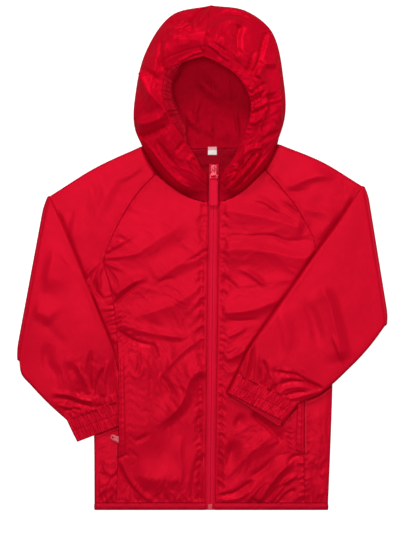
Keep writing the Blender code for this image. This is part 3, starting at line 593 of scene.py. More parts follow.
CUFFS = {
    Side.RIGHT: (
        (-93, -204, -175, -234, 5, 7.9, 0),
        (-89, -218, -168, -248, 5, 7.8, 0),
    ),
    Side.LEFT: (
        (41, -171, 119, -209, 7.9, 13.4, 3),
        (35, -182, 108, -219, 7.8, 14, 8),
    ),
}

# Lines over each half of the hood, from the centre seam round to the zip: the places of the rim,
# the crest, the outline, the foot and the neck seam.
HOODS = {
    Side.RIGHT: (
        ((1.7, 270, 52), (6, 303, 60), (11.7, 339.5, 24), (12.7, 322, 0.5), (13.7, 149.4, 0.5)),
        ((-22, 263, 50), (-31, 294, 58), (-41, 326, 24), (-34, 309, 0.5), (-14, 149.2, 0.5)),
        ((-46, 251, 47), (-60, 271, 54), (-76, 276, 23), (-66, 264, 0.5), (-38, 148.8, 0.5)),
        ((-53, 221, 44), (-70, 223, 48), (-90.5, 212, 20), (-80, 205, 0.5), (-61, 148.4, 0.5)),
        ((-42, 188, 38), (-64, 186, 41), (-89, 173, 15), (-85, 164, 5), (-79, 152.5, 2.7)),
        ((-24, 160, 30), (-44, 152, 34), (-65.5, 137.5, 22), (-69.5, 133, 10), (-70.5, 131, 5.2)),
        ((-10, 138, 21), (-25, 126, 27), (-44, 111, 19), (-48.5, 106.5, 9), (-49.8, 105, 5.2)),
        ((0, 120, 13), (-8, 107, 18), (-18.5, 93.5, 14), (-22, 88.5, 8), (-23, 86.5, 5.2)),
        ((8, 112, 6.2), (8, 102, 6.4), (8, 92, 6), (8, 84, 5.6), (8, 76.5, 5.2)),
    ),
    Side.LEFT: (
        ((2.3, 270, 52), (6.6, 303, 60), (12.3, 339.5, 24), (13.3, 322, 0.5), (14.3, 149.4, 0.5)),
        ((24, 260, 51), (37, 291, 60), (59, 332, 24), (52, 313, 0.5), (38, 149.7, 0.5)),
        ((49, 242, 48), (68, 267, 55), (95, 302, 22), (85, 286, 0.5), (60, 149.9, 0.5)),
        ((65, 211, 43), (87, 226, 47), (109.8, 238, 20), (99, 230, 0.5), (82, 150.2, 0.5)),
        ((63, 184, 38), (85, 186, 41), (110.5, 188, 15), (106, 176, 5), (101, 154.8, 2.7)),
        ((53, 156, 30), (73, 150, 34), (89.5, 139.5, 22), (92.6, 136, 10), (93.3, 134.5, 5.2)),
        ((41, 133, 21), (56, 122, 27), (69.5, 113, 19), (73.4, 110, 9), (74.3, 109, 5.2)),
        ((30, 119, 13), (38, 106, 18), (45.5, 93.5, 14), (48.4, 89.4, 8), (49, 88, 5.2)),
        ((23.3, 112, 6.2), (23.3, 102, 6.4), (23.3, 92, 6), (23.2, 84, 5.6), (23.2, 76.5, 5.2)),
    ),
}


def seam(side: Side, name: str, parts: int) -> np.ndarray:
    """One seam of the flat garment, divided evenly."""
    return curve_through(SEAMS[side][name], parts)


def joined(*runs: np.ndarray) -> np.ndarray:
    """One run of places from several that meet end to end."""
    return np.concatenate([runs[0]] + [run[1:] for run in runs[1:]])


def zip_x(y: np.ndarray | float) -> np.ndarray | float:
    """Where the zip's line is at one height of the body."""
    return ZIP_HEM_X + (ZIP_NECK_X - ZIP_HEM_X) * (y - HEM_TOP_Y) / (ZIP_NECK_Y - HEM_TOP_Y)


def pocket_heights(y: np.ndarray) -> tuple[np.ndarray, np.ndarray]:
    """The lift of the right front's edge, and the height of the side panel beside it."""
    table = np.array(POCKET_LIFT[::-1])
    lift, panel = (np.interp(y, table[:, 0], table[:, column]) for column in (1, 2))
    return lift, panel


def sleeve_outline(side: Side) -> np.ndarray:
    """The outline in plan of the forearm and the cuff that lie over the body."""
    table = (CREASES[side], *FOREARMS[side], *CUFFS[side])
    return np.array([row[:2] for row in table] + [row[2:4] for row in table[::-1]], float)


# --- Node trees and finishes ------------------------------------------------------------------


class Graph:
    """A node tree with short calls to place and join its nodes."""

    def __init__(self, tree: bpy.types.NodeTree) -> None:
        """Takes the tree to work in."""
        self.tree = tree

    def feed(self, node: bpy.types.Node, inputs: dict[Any, Any]) -> None:
        """Sets each of a node's inputs to a value, or joins it to the socket that feeds it."""
        for key, value in inputs.items():
            if isinstance(value, bpy.types.NodeSocket):
                self.tree.links.new(value, node.inputs[key])
            else:
                node.inputs[key].default_value = value

    def add(self, kind: str, inputs: dict[Any, Any] | None = None, out: Any = 0, **settings: Any) -> Any:
        """Adds a node.

        Args:
            kind: The node's type.
            inputs: Each input's name or number, with its value or the socket that feeds it.
            out: The name or number of the output that is wanted.
            settings: The node's own properties.

        Returns:
            That output's socket, or None from a node that has no outputs.
        """
        node = self.tree.nodes.new(kind)
        for name, value in settings.items():
            setattr(node, name, value)
        self.feed(node, inputs or {})
        return node.outputs[out] if node.outputs else None

    def math(self, operation: str, a: Any, b: Any) -> bpy.types.NodeSocket:
        """A Math node's result."""
        return self.add("ShaderNodeMath", {0: a, 1: b}, operation=operation)

    def noise(self, place: Any, scale: Any, detail: float, out: str = "Fac") -> bpy.types.NodeSocket:
        """A Noise Texture's result."""
        return self.add("ShaderNodeTexNoise", {"Vector": place, "Scale": scale, "Detail": detail}, out)

    def remap(self, value: Any, **ends: float) -> bpy.types.NodeSocket:
        """A value mapped from one range to another, whose ends are given by name."""
        inputs = {name.replace("_", " ").title(): end for name, end in ends.items()}
        return self.add("ShaderNodeMapRange", {"Value": value} | inputs)


def new_group(
    name: str, kind: str, inputs: dict[str, tuple[str, Any]], outputs: dict[str, str]
) -> tuple[Graph, dict[str, bpy.types.NodeSocket]]:
    """Starts a node group.

    Args:
        name: The group's name.
        kind: The kind of its tree.
        inputs: Each input's name, with its socket type and default.
        outputs: Each output's name, with its socket type.

    Returns:
        The graph, and what comes in by name.
    """
    tree = bpy.data.node_groups.new(name, kind)
    for label, (socket_type, default) in inputs.items():
        socket = tree.interface.new_socket(name=label, in_out="INPUT", socket_type=socket_type)
        if default is not None:
            socket.default_value = default
    for label, socket_type in outputs.items():
        tree.interface.new_socket(name=label, in_out="OUTPUT", socket_type=socket_type)
    given = tree.nodes.new("NodeGroupInput")
    return Graph(tree), {label: given.outputs[label] for label in inputs}


VECTOR = ("NodeSocketVector", None)


def crumple_group() -> bpy.types.NodeTree:
    """A shader group: the fine crumple of packed nylon, as a height from 0 to 1."""
    inputs = {"Vector": VECTOR, "Scale": ("NodeSocketFloat", 60.0), "Warp": ("NodeSocketFloat", 0.02)}
    graph, given = new_group("crumple", "ShaderNodeTree", inputs, {"Height": "NodeSocketFloat"})
    bend = graph.noise(given["Vector"], 30.0, 2.0, "Color")
    shift = graph.add("ShaderNodeVectorMath", {0: bend, "Scale": given["Warp"]}, operation="SCALE")
    place = graph.add("ShaderNodeVectorMath", {0: given["Vector"], 1: shift})
    cells = {"Vector": place, "Scale": given["Scale"], "Randomness": 1.0}
    edges = graph.add("ShaderNodeTexVoronoi", cells, "Distance", feature="DISTANCE_TO_EDGE")
    facets = graph.math("MINIMUM", graph.math("MULTIPLY", edges, 2.2), 1.0)
    soft = graph.math("MULTIPLY", graph.noise(place, given["Scale"], 3.0), 0.7)
    height = graph.math("ADD", soft, graph.math("MULTIPLY", facets, 0.3))
    graph.add("NodeGroupOutput", {"Height": height})
    return graph.tree


def weave_group() -> bpy.types.NodeTree:
    """A shader group: plain weave over the cloth's own UV map in metres, as a height from 0 to 1."""
    inputs = {"Vector": VECTOR, "Threads per metre": ("NodeSocketFloat", 1500.0)}
    graph, given = new_group("weave", "ShaderNodeTree", inputs, {"Height": "NodeSocketFloat"})
    wave = {"Vector": given["Vector"], "Scale": given["Threads per metre"], "Distortion": 0.0}
    threads = [graph.add("ShaderNodeTexWave", wave, "Fac", bands_direction=axis) for axis in ("X", "Y")]
    graph.add("NodeGroupOutput", {"Height": graph.math("MULTIPLY", *threads)})
    return graph.tree


def tone_group() -> bpy.types.NodeTree:
    """A shader group: a dye's slight unevenness between two near colours."""
    inputs = {
        "Vector": VECTOR,
        "Light": ("NodeSocketColor", (0.6, 0.0, 0.02, 1.0)),
        "Deep": ("NodeSocketColor", (0.5, 0.0, 0.015, 1.0)),
        "Scale": ("NodeSocketFloat", 12.0),
    }
    graph, given = new_group("dye_tone", "ShaderNodeTree", inputs, {"Color": "NodeSocketColor"})
    cloud = graph.noise(given["Vector"], given["Scale"], 4.0)
    sharper = graph.remap(cloud, from_min=0.3, from_max=0.7)
    mix = {"Factor": sharper, 6: given["Deep"], 7: given["Light"]}
    graph.add("NodeGroupOutput", {"Color": graph.add("ShaderNodeMix", mix, 2, data_type="RGBA")})
    return graph.tree


class Groups:
    """The shader groups that several materials share, each built once."""

    def __init__(self) -> None:
        """Builds the groups."""
        self.crumple = crumple_group()
        self.weave = weave_group()
        self.tone = tone_group()


def new_material(name: str) -> tuple[bpy.types.Material, Graph, bpy.types.Node]:
    """A new material, the graph of its tree, and its Principled BSDF."""
    material = bpy.data.materials.new(name)
    material.use_nodes = True
    return material, Graph(material.node_tree), material.node_tree.nodes["Principled BSDF"]


@dataclass(frozen=True)
class Finish:
    """A surface dyed or painted in two near colours."""

    name: str
    light: tuple[float, float, float]
    deep: tuple[float, float, float]
    roughness: float = 0.40

    def tone(self, graph: Graph, groups: Groups, scale: float) -> bpy.types.NodeSocket:
        """The colour, uneven at one scale."""
        place = graph.add("ShaderNodeTexCoord", out="Object")
        inputs = {"Vector": place, "Light": (*self.light, 1.0), "Deep": (*self.deep, 1.0), "Scale": scale}
        return graph.add("ShaderNodeGroup", inputs, node_tree=groups.tone)


RED_GLINT = (1.0, 0.13, 0.20, 1.0)
RED_SHEEN = (1.0, 0.05, 0.12, 1.0)


@dataclass(frozen=True)
class ClothFinish(Finish):
    """A dyed nylon: its gloss, the depth of its weave and its crumple in metres, a faint painted glow of its
    own colour for light through the thin cloth, and a share of painted shade where it lies deep.
    """

    threads: float = 1500.0
    weave_depth: float = 0.00006
    crumple_depth: float = 0.00025
    sheen: float = 0.15
    satin: float = 0.22
    # Painted glow: the cloth emits its own colour faintly, for light passing through the thin nylon.
    painted_glow: float = 0.03
    # Painted shade: the share of the colour kept where the cloth lies deep and faces up.
    deep_shade_share: float = 1.0
    gloss: float = 0.28

    def inside(self, graph: Graph) -> bpy.types.NodeSocket:
        """Painted shade: the share of its colour that the cloth keeps, less where it lies deep and faces up,
        as inside the hood and the neck opening.
        """
        place = graph.add("ShaderNodeTexCoord", out="Object")
        facing = graph.add("ShaderNodeTexCoord", out="Normal")
        height = graph.add("ShaderNodeSeparateXYZ", {0: place}, "Z")
        outer = graph.remap(height, from_min=0.006, from_max=0.016)
        under = graph.remap(graph.add("ShaderNodeSeparateXYZ", {0: facing}, "Z"), from_min=0.1, from_max=-0.1)
        return graph.remap(graph.math("MAXIMUM", outer, under), to_min=self.deep_shade_share)

    def make(self, groups: Groups) -> bpy.types.Material:
        """Builds the material."""
        material, graph, shader = new_material(self.name)
        place = graph.add("ShaderNodeTexCoord", out="Object")
        flat = graph.add("ShaderNodeTexCoord", out="UV")
        crumple = graph.add("ShaderNodeGroup", {"Scale": 70.0, "Vector": place}, node_tree=groups.crumple)
        threads = {"Threads per metre": self.threads / math.tau, "Vector": flat}
        weave = graph.add("ShaderNodeGroup", threads, node_tree=groups.weave)
        bump = {"Height": crumple, "Distance": self.crumple_depth, "Strength": 1.0}
        bump = {"Normal": graph.add("ShaderNodeBump", bump), "Height": weave, "Distance": self.weave_depth}
        # The base colour is darkened by painted shade where the cloth lies deep.
        colour = {0: self.tone(graph, groups, 12.0), "Scale": self.inside(graph)}
        shade = graph.add("ShaderNodeVectorMath", colour, operation="SCALE")
        inputs = {
            "Normal": graph.add("ShaderNodeBump", bump | {"Strength": 0.6}),
            "Base Color": shade,
            # Painted glow: the emitted colour stands in for light through the thin nylon.
            "Emission Color": shade,
            "Emission Strength": self.painted_glow,
            "Roughness": graph.remap(crumple, to_min=self.roughness + 0.05, to_max=self.roughness - 0.03),
            "Metallic": self.satin,
            "Specular IOR Level": self.gloss,
            "Specular Tint": RED_GLINT,
            "Sheen Weight": self.sheen,
            "Sheen Roughness": 0.35,
            "Sheen Tint": RED_SHEEN,
        }
        graph.feed(shader, inputs)
        return material


@dataclass(frozen=True)
class HardFinish(Finish):
    """A painted or moulded small part, with slight wear."""

    metallic: float = 0.0
    grain: float = 900.0
    grain_depth: float = 0.00004

    def make(self, groups: Groups) -> bpy.types.Material:
        """Builds the material."""
        material, graph, shader = new_material(self.name)
        wear = graph.noise(graph.add("ShaderNodeTexCoord", out="Object"), self.grain, 3.0)
        bump = {"Height": wear, "Distance": self.grain_depth, "Strength": 0.7}
        inputs = {
            "Base Color": self.tone(graph, groups, 240.0),
            "Normal": graph.add("ShaderNodeBump", bump),
            "Roughness": graph.remap(wear, to_min=self.roughness - 0.06, to_max=self.roughness + 0.1),
            "Metallic": self.metallic,
        }
        graph.feed(shader, inputs)
        return material


LABEL_BAND_Y = (0.1452, 0.1458)
BAND_ROSE = (0.82, 0.33, 0.36, 1.0)


def label_finish(groups: Groups) -> bpy.types.Material:
    """The label's woven satin: white, with one rosy band along its upper edge."""
    light, deep = (0.86, 0.84, 0.84), (0.80, 0.78, 0.78)
    finish = ClothFinish("white_label_satin", light, deep, 0.45, threads=2600.0, crumple_depth=0.0001)
    material = finish.make(groups)
    graph = Graph(material.node_tree)
    shader = material.node_tree.nodes["Principled BSDF"]
    place = graph.add("ShaderNodeTexCoord", out="Object")
    start, full = LABEL_BAND_Y
    band = graph.remap(graph.add("ShaderNodeSeparateXYZ", {0: place}, "Y"), from_min=start, from_max=full)
    white = shader.inputs["Base Color"].links[0].from_socket
    mix = {"Factor": band, 6: white, 7: BAND_ROSE}
    graph.feed(shader, {"Base Color": graph.add("ShaderNodeMix", mix, 2, data_type="RGBA")})
    return material


def part_tree(name: str, across: bool) -> bpy.types.NodeTree:
    """A Geometry Nodes tree: one small rounded part at each step along the given lines.

    Args:
        name: The tree's name.
        across: Whether the parts lie across the line, as coil turns do, instead of along it.

    Returns:
        The new tree.
    """
    inputs = {
        "Geometry": ("NodeSocketGeometry", None),
        "Pitch": ("NodeSocketFloat", 0.003),
        "Length": ("NodeSocketFloat", 0.0022),
        "Thickness": ("NodeSocketFloat", 0.0004),
        "Finish": ("NodeSocketMaterial", None),
    }
    graph, given = new_group(name, "GeometryNodeTree", inputs, {"Geometry": "NodeSocketGeometry"})
    line = graph.add("GeometryNodeMeshToCurve", {0: given["Geometry"]})
    stops = graph.add("GeometryNodeResampleCurve", {"Curve": line, "Length": given["Pitch"]}, mode="LENGTH")
    ball = graph.add("GeometryNodeMeshIcoSphere", {"Radius": 0.5, "Subdivisions": 1})
    height = given["Length"] if across else given["Thickness"]
    size = graph.add("ShaderNodeCombineXYZ", {0: given["Length"], 1: given["Thickness"], 2: height})
    part = graph.add("GeometryNodeTransform", {"Geometry": ball, "Scale": size})
    heading = graph.add("GeometryNodeInputTangent")
    turn = graph.add("FunctionNodeAlignRotationToVector", {"Vector": heading}, axis="X")
    put = {"Points": stops, "Instance": part, "Rotation": turn}
    real = graph.add("GeometryNodeRealizeInstances", {0: graph.add("GeometryNodeInstanceOnPoints", put)})
    smooth = graph.add("GeometryNodeSetShadeSmooth", {0: real})
    finished = graph.add("GeometryNodeSetMaterial", {0: smooth, "Material": given["Finish"]})
    graph.add("NodeGroupOutput", {0: finished})
    return graph.tree


# --- Making pieces ----------------------------------------------------------------------------


def grid_mesh(name: str, grid: np.ndarray, closed: bool = False) -> bpy.types.Mesh:
    """A mesh from a grid of places in millimetres, with a UV map of the cloth in metres.

    Args:
        name: The mesh's name.
        grid: Rows of places.
        closed: Whether each row runs round to its own start.

    Returns:
        The new mesh.
    """
    rows, columns = grid.shape[:2]
    mesh = bpy.data.meshes.new(name)
    around = columns if closed else columns - 1
    j, i = (index.ravel() for index in np.meshgrid(np.arange(rows - 1), np.arange(around), indexing="ij"))
    corners = ((j, i), (j + 1, i), (j + 1, i + 1), (j, i + 1))
    faces = np.stack([row * columns + column % columns for row, column in corners], axis=-1)
    mesh.from_pydata((grid.reshape(-1, 3) * MM).tolist(), [], faces.tolist())
    wrapped = np.concatenate([grid, grid[:, :1]], axis=1)
    across = np.concatenate([[0.0], np.cumsum(steps(wrapped, 1), axis=1).mean(axis=0)]) * MM
    down = np.concatenate([[0.0], np.cumsum(steps(grid, 0), axis=0).mean(axis=1)]) * MM
    flat = np.stack([np.stack([across[column], down[row]], axis=-1) for row, column in corners], axis=1)
    mesh.uv_layers.new(name="cloth").data.foreach_set("uv", flat.astype(np.float32).ravel())
    mesh.shade_smooth()
    return mesh


def surface_of(mesh: bpy.types.Mesh) -> BVHTree:
    """A mesh's surface, for laying stitches on it."""
    return BVHTree.FromPolygons([v.co for v in mesh.vertices], [p.vertices for p in mesh.polygons])


def show(name: str, data: Any, material: bpy.types.Material | None = None) -> bpy.types.Object:
    """Puts data in the scene as an object, a mesh with one material."""
    if material is not None:
        data.materials.clear()
        data.materials.append(material)
    piece = bpy.data.objects.new(name, data)
    bpy.context.scene.collection.objects.link(piece)
    return piece


def finished_mesh(source: bpy.types.Object) -> bpy.types.Mesh:
    """The mesh that an object's curve or modifiers come to, once the object itself is removed."""
    data = source.data
    mesh = bpy.data.meshes.new_from_object(source.evaluated_get(bpy.context.evaluated_depsgraph_get()))
    bpy.data.objects.remove(source)
    (bpy.data.curves if isinstance(data, bpy.types.Curve) else bpy.data.meshes).remove(data)
    return mesh


def place_piece(
    name: str,
    mesh: bpy.types.Mesh,
    material: bpy.types.Material,
    slot: str,
    nodes: tuple[str, ...] | None = None,
    body: str = "garment",
    wall: float = 0.0,
) -> bpy.types.Object:
    """Args:
        name: The piece's name.
        mesh: Its mesh, in metres.
        material: Its one material.
        slot: Its material slot in the frame. Not used.
        nodes: The CAD nodes that it replaces, or None if it adds to them.
        body: The body that it rides on.
        wall: The thickness that a sheet is given, in millimetres.

    Returns:
        The new piece.
    """
    piece = show(name, mesh, material)
    if wall > 0.0:
        thicken = piece.modifiers.new("wall", "SOLIDIFY")
        thicken.thickness = wall * MM
        thicken.offset = 0.0
    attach(piece, body)
    if nodes is not None:
        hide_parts(*nodes)
    log.info("%s: %d faces", name, len(mesh.polygons))
    return piece


def flat_size(grid: np.ndarray, closed: bool) -> tuple[tuple[float, float], float]:
    """The width, length and area of the cloth in a grid, in metres."""
    ring = np.concatenate([grid, grid[:, :1]], axis=1) if closed else grid
    width = steps(ring, 1).sum(axis=1).max() * MM
    length = steps(ring, 0).sum(axis=0).max() * MM
    crossed = np.cross(ring[1:, 1:] - ring[:-1, :-1], ring[1:, :-1] - ring[:-1, 1:])
    return (float(width), float(length)), float(np.linalg.norm(crossed, axis=2).sum() / 2 * MM**2)


@dataclass
class ClothPiece:
    """One cut piece of cloth: its smooth form, and the same form with its creases."""

    name: str
    smooth: np.ndarray
    creased: np.ndarray
    material: bpy.types.Material
    nodes: tuple[str, ...]
    held: str
    rests_on: tuple[str, ...] = ()
    wall: float = CLOTH_WALL
    closed: bool = False
    slot: str = "cloth"
    place: Matrix = field(default_factory=Matrix)
    extras: list[bpy.types.Object] = field(default_factory=list)

    def build(self) -> None:
        mesh = grid_mesh(self.name, self.creased, self.closed)
        mesh.transform(self.place)
        piece = place_piece(self.name, mesh, self.material, self.slot, self.nodes, wall=self.wall)
        size, area = flat_size(self.smooth, self.closed)
        area = min(area, size[0] * size[1])
        rests_on = list(self.rests_on)
        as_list(self.extras)
        log.info("%s: %.0f x %.0f mm flat", self.name, *(s / MM for s in size))

    def surface(self) -> BVHTree:
        """The creased surface, for laying stitches on it."""
        mesh = grid_mesh("probe", self.creased, self.closed)
        surface = surface_of(mesh)
        bpy.data.meshes.remove(mesh)
        return surface


RED_CLOTH = ClothFinish("red_nylon", (0.625, 0.0014, 0.019), (0.565, 0.0011, 0.016))
# The hood's nylon: its deep tone, darker than the body's, is painted shade of its fine crumples, and it has a
# stronger painted glow and painted shade where it lies deep.
HOOD_CLOTH = ClothFinish(
    "red_nylon_hood_painted_shade", (0.64, 0.0015, 0.019), (0.50, 0.0011, 0.014), 0.48, crumple_depth=0.0005,
    sheen=0.05, satin=0.30, painted_glow=0.07, deep_shade_share=0.70, gloss=0.08,
)
# The back's nylon, seen only through the neck opening: painted shade keeps 0.42 of its colour where it lies
# deep and faces up.
BACK_CLOTH = ClothFinish(
    "red_nylon_back_painted_shade", (0.66, 0.0016, 0.020), (0.60, 0.0012, 0.017), crumple_depth=0.0005,
    sheen=0.05, deep_shade_share=0.42, gloss=0.10,
)
# The turned-in casing: the same nylon, darker as painted shade.
SHADED_CASING_CLOTH = ClothFinish(
    "red_nylon_casing_painted_shade", (0.46, 0.001, 0.013), (0.38, 0.0008, 0.011), crumple_depth=0.0005
)
BINDING = ClothFinish("red_binding", (0.60, 0.003, 0.022), (0.52, 0.002, 0.019), 0.5, 900.0, 0.00012, 0.0003)
TAPE = ClothFinish("red_zip_tape", (0.78, 0.006, 0.036), (0.72, 0.005, 0.032), 0.55, 700.0, 0.00015, 0.00005)
THREAD = ClothFinish(
    "red_thread", (0.60, 0.004, 0.026), (0.52, 0.003, 0.02), 0.45, 3000.0, crumple_depth=0.00005
)
COIL = HardFinish("red_coil_nylon", (0.74, 0.01, 0.04), (0.66, 0.007, 0.03))
ENAMEL = HardFinish("red_enamelled_metal", (0.70, 0.02, 0.05), (0.60, 0.012, 0.035), 0.28, 0.3)
# Pale red for the box's bars and the pocket pull: partly their own paler plastic, partly painted highlight
# for the glints on them.
PALE_WITH_GLINT = HardFinish("pale_red_plastic_and_painted_glint", (0.80, 0.09, 0.13), (0.72, 0.06, 0.09), 0.35)


STITCH_STEP = 1.5
STITCH_CLEARANCE = 0.05
ABOVE_ALL = 100.0


class Workshop:
    """What all sub-assemblies share: the finishes and the trees that repeat small parts."""

    def __init__(self) -> None:
        """Builds every material and node tree once."""
        groups = Groups()
        finishes = (
            RED_CLOTH, HOOD_CLOTH, BACK_CLOTH, SHADED_CASING_CLOTH, BINDING, TAPE, THREAD, COIL, ENAMEL, PALE_WITH_GLINT,
        )
        made = [finish.make(groups) for finish in finishes]
        self.cloth, self.hood_cloth, self.back_cloth, self.casing_cloth, self.binding = made[:5]
        self.tape, self.thread, self.coil, self.enamel, self.pale = made[5:]
        self.label = label_finish(groups)
        self.stitch_tree = part_tree("stitches", False)
        self.coil_tree = part_tree("coil_turns", True)

    def stitches(
        self,
        name: str,
        lines: Sequence[np.ndarray],
        surface: BVHTree,
        pitch: float = 3.0,
        thickness: float = 0.42,
        body: str = "garment",
    ) -> bpy.types.Object:
        """Rows of stitches laid on a surface from above.

        Args:
            name: The piece's name.
            lines: Lines in plan, in millimetres.
            surface: What they are laid on.
            pitch: The distance from stitch to stitch.
            thickness: The thread's thickness.
            body: The body that they ride on.

        Returns:
            One piece with all the stitches.
        """
        runs = []
        for line in lines:
            length = steps(line[:, :2]).sum()
            run = []
            for x, y in spaced(line[:, :2], max(2, int(length / STITCH_STEP))):
                start = Vector((x, y, ABOVE_ALL)) * MM
                hit = surface.ray_cast(start, Vector((0.0, 0.0, -1.0)))[0]
                if hit is not None:
                    run.append(hit + Vector((0.0, 0.0, (CLOTH_WALL / 2 + STITCH_CLEARANCE) * MM)))
            runs.append(run)
        return self.repeat(name, runs, self.stitch_tree, self.thread, (pitch, pitch * 0.74, thickness), body)

    def repeat(
        self,
        name: str,
        runs: Sequence[Sequence[Vector]],
        tree: bpy.types.NodeTree,
        material: bpy.types.Material,
        sizes: tuple[float, float, float],
        body: str = "garment",
    ) -> bpy.types.Object:
        """Runs a tree that sets small parts along lines, and keeps its result as a plain mesh.

        Args:
            name: The piece's name.
            runs: Each line's points, in metres.
            tree: The Geometry Nodes tree.
            material: The parts' material.
            sizes: The parts' pitch, length and thickness in millimetres.
            body: The body that they ride on.

        Returns:
            The new piece.
        """
        points = [tuple(point) for run in runs for point in run]
        edges = []
        start = 0
        for run in runs:
            edges += [(start + k, start + k + 1) for k in range(len(run) - 1)]
            start += len(run)
        mesh = bpy.data.meshes.new(name + "_line")
        mesh.from_pydata(points, edges, [])
        carrier = show(name + "_line", mesh)
        modifier = carrier.modifiers.new("parts", "NODES")
        modifier.node_group = tree
        values = dict(zip(("Pitch", "Length", "Thickness"), (size * MM for size in sizes)))
        values["Finish"] = material
        for item in tree.interface.items_tree:
            if item.in_out == "INPUT" and item.name in values:
                modifier[item.identifier] = values[item.name]
        made = finished_mesh(carrier)
        made.name = name
        piece = show(name, made, material)
        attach(piece, body)
        log.info("%s: %d faces", name, len(made.polygons))
        return piece
